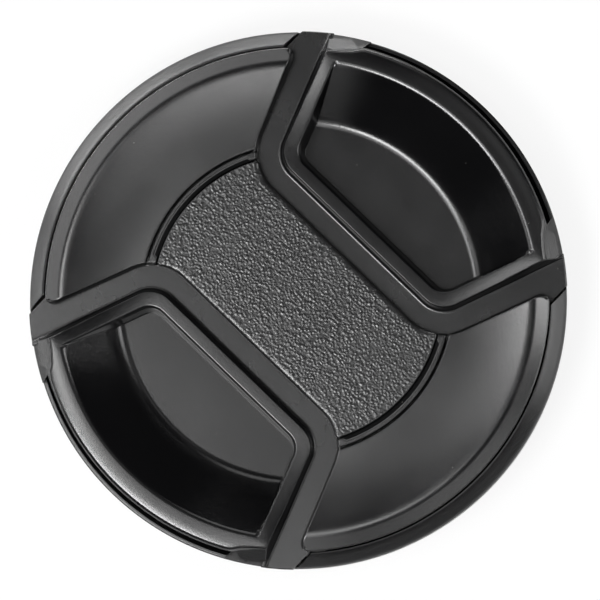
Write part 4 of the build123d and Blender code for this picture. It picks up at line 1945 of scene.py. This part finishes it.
@dataclass
class Studio:
    """Pale floor, soft lamps, the surroundings and the camera."""

    camera_distance: float = 0.8
    camera_reach: float = 10.0
    tilt: float = 4.8
    up: tuple[float, float] = (0.7185, 0.6955)
    aim_right: float = 0.00019
    aim_up: float = 0.00007
    aim_z: float = 0.0045
    px_per_m: float = 8856.0
    image_px: float = 600.0
    sensor: float = 36.0
    floor_half: float = 1.5
    floor_z: float = -0.00004
    paper: float = 0.6
    paper_glow: float = 0.85
    wall_light: float = 0.004
    ceiling_light: float = 0.02
    ceiling_lean: float = 12.0
    ceiling_azimuth: float = 170.0
    ceiling_reach: float = 40.0
    lamps: tuple[Softbox, ...] = (
        Softbox("key_softbox", 180.0, 34.0, 0.35, 0.16, 0.09, 22.42),
        Softbox("key_top_softbox", 180.0, 22.0, 0.35, 0.10, 0.07, 2.24),
        Softbox("key_left_softbox", 135.0, 22.0, 0.35, 0.10, 0.07, 8.61),
        Softbox("key_left_top_softbox", 135.0, 12.0, 0.35, 0.08, 0.07, 2.01),
        Softbox("key_near_softbox", 225.0, 12.0, 0.35, 0.08, 0.07, 4.84),
        Softbox("top_softbox", 0.0, 0.0, 0.95, 0.32, 0.32, 0.25),
        Softbox("left_strip", 90.0, 88.4, 0.35, 0.26, 0.02, 28.0),
        Softbox("far_strip", 45.0, 88.4, 0.35, 0.26, 0.02, 25.0),
        Softbox("left_near_strip", 135.0, 88.4, 0.35, 0.26, 0.02, 12.0),
        Softbox("right_low_softbox", 315.0, 78.0, 0.35, 0.26, 0.14, 3.19),
        Softbox("left_softbox", 90.0, 52.0, 0.35, 0.22, 0.12, 2.18),
        Softbox("left_near_softbox", 135.0, 52.0, 0.35, 0.22, 0.12, 1.89),
        Softbox("near_softbox", 225.0, 52.0, 0.35, 0.22, 0.12, 1.12),
        Softbox("right_near_softbox", 270.0, 52.0, 0.35, 0.22, 0.12, 2.06),
        Softbox("right_softbox", 322.0, 48.0, 0.35, 0.12, 0.12, 6.0),
        Softbox("far_softbox", 45.0, 52.0, 0.35, 0.22, 0.12, 1.53),
        Softbox("far_top_softbox", 0.0, 22.0, 0.35, 0.10, 0.07, 0.71),
    )

    @staticmethod
    def show(kit: NodeKit, output: str, others: Node, camera: Node, share: float) -> None:
        """Ends a tree with one shader for the camera and another for all other rays.

        Args:
            kit: Calls for the tree.
            output: Type of the output node.
            others: Shader for the other rays.
            camera: Shader for the camera.
            share: How much of its shader the camera sees.
        """
        path = kit.add("ShaderNodeLightPath").outputs["Is Camera Ray"]
        inputs = {0: kit.math("MULTIPLY", path, share), 1: others.outputs[0], 2: camera.outputs[0]}
        mix = kit.add("ShaderNodeMixShader", inputs)
        kit.add(output, {"Surface": mix.outputs[0]})

    def floor(self) -> Object:
        """Makes the floor, which is white to the camera and still takes the cap's shadow.

        Returns:
            The floor's object.
        """
        h, z = self.floor_half, self.floor_z
        mesh = bpy.data.meshes.new("studio_floor")
        mesh.from_pydata([(-h, -h, z), (h, -h, z), (h, h, z), (-h, h, z)], [], [(0, 1, 2, 3)])
        material = bpy.data.materials.new("floor_paper")
        kit = clear_nodes(material)
        grey = (self.paper, self.paper, self.paper, 1.0)
        paper = kit.add("ShaderNodeBsdfDiffuse", {"Color": grey})
        glow = kit.add("ShaderNodeEmission", {"Color": WHITE})
        self.show(kit, "ShaderNodeOutputMaterial", paper, glow, self.paper_glow)
        mesh.materials.append(material)
        piece = put_in_scene("studio_floor", mesh)
        return piece

    def surroundings(self) -> None:
        """Sets the world: white to the camera, and to the rest a soft ceiling over dark walls."""
        world = bpy.data.worlds.new("studio_surround")
        kit = clear_nodes(world)
        inputs = {
            0: kit.add("ShaderNodeTexCoord").outputs["Generated"],
            1: direction(self.ceiling_azimuth, self.ceiling_lean),
        }
        facing = kit.add("ShaderNodeVectorMath", inputs, operation="DOT_PRODUCT").outputs["Value"]
        edge = math.cos(math.radians(self.ceiling_reach))
        strength = kit.ramp(facing, edge, 1.0, self.wall_light, self.ceiling_light)
        soft = kit.add("ShaderNodeBackground", {"Color": WHITE, "Strength": strength})
        white = kit.add("ShaderNodeBackground", {"Color": WHITE})
        self.show(kit, "ShaderNodeOutputWorld", soft, white, 1.0)
        bpy.context.scene.world = world

    def camera(self) -> Object:
        """Places the camera above the cap.

        Returns:
            The camera's object.
        """
        lens = bpy.data.cameras.new("camera")
        lens.sensor_width = self.sensor
        lens.lens = self.px_per_m * self.camera_distance * self.sensor / self.image_px
        lens.clip_end = self.camera_reach
        lean = math.radians(self.tilt)
        away = Vector((0.0, -math.sin(lean), math.cos(lean)))
        up = Vector((*self.up, 0.0))
        right = up.cross(away).normalized()
        up = away.cross(right)
        aim = Vector((0.0, 0.0, self.aim_z)) + right * self.aim_right + up * self.aim_up
        axes = Matrix((right, up, away)).transposed().to_4x4()
        piece = put_in_scene("camera", lens)
        piece.matrix_world = Matrix.Translation(aim + away * self.camera_distance) @ axes
        bpy.context.scene.camera = piece
        return piece

    def build(self) -> None:
        """Sets up the floor, the lamps, the surroundings and the camera."""
        self.floor()
        self.surroundings()
        for lamp in self.lamps:
            lamp.build()
        self.camera()
        bpy.context.scene.view_settings.view_transform = "Standard"


@dataclass
class LensCap:
    """The whole cap: its moulded pieces, their finishes and what each of them rides on."""

    sizes: CapSizes = field(default_factory=CapSizes)

    def seat(
        self, piece: Object, material: Material, body: str, nodes: tuple[str, ...]
    ) -> None:
        """Gives a piece its material and its place in the frame.

        Args:
            piece: The piece.
            material: Its material.
            body: Body that it rides on.
            nodes: CAD nodes that it stands for.
        """
        piece.data.materials.clear()
        piece.data.materials.append(material)
        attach(piece, body)
        if nodes:
            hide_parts(*nodes)
        LOG.info("%s rides on %s", piece.name, body)

    def build(self) -> None:
        """Builds and dresses every piece."""
        grain = MouldedGrain().build()
        rim = PlasticFinish("rim_plastic", roughness=0.30).build(grain)
        lobes = PlasticFinish("lobe_plastic", roughness=0.24, gloss=0.72).build(grain)
        leather = PlasticFinish(
            "leather_plastic", roughness=0.32, gloss=0.6, grain_depth=0.012
        ).build(grain)
        grip = PlasticFinish(
            "grip_plastic", roughness=0.22, matte_mark="channel", gloss_mark="hollow"
        ).build(grain)
        steel = SteelFinish().build()
        cover = FrontCover(self.sizes)
        self.seat(CapBody(self.sizes).build(), rim, "base", ("body",))
        self.seat(cover.build(), lobes, "base", ("front_cover",))
        panel = CentrePanel(cover)
        self.seat(panel.build(leather), leather, "base", ("centre_plate",))
        for side, letter in ((Side.PLUS, "a"), (Side.MINUS, "b")):
            slider = FingerGrip(self.sizes, side, f"finger_grip_{letter}")
            self.seat(slider.build(), grip, f"grip_{letter}", (f"slider_{letter}",))
            teeth = CatchTeeth(self.sizes, side, f"catch_teeth_{letter}")
            self.seat(teeth.build(grip), grip, f"grip_{letter}", ())
            spring = ReturnSpring(self.sizes, side, f"spring_coil_{letter}")
            coil = spring.build(steel)
            self.seat(coil, steel, "base", (f"spring_{letter}",))
            spring.shorten(coil)


def main() -> None:
    """Builds the cap and the studio."""
    logging.basicConfig(level=logging.INFO, format="%(name)s: %(message)s")
    LensCap().build()
    Studio().build()


if __name__ == "__main__":
    main()
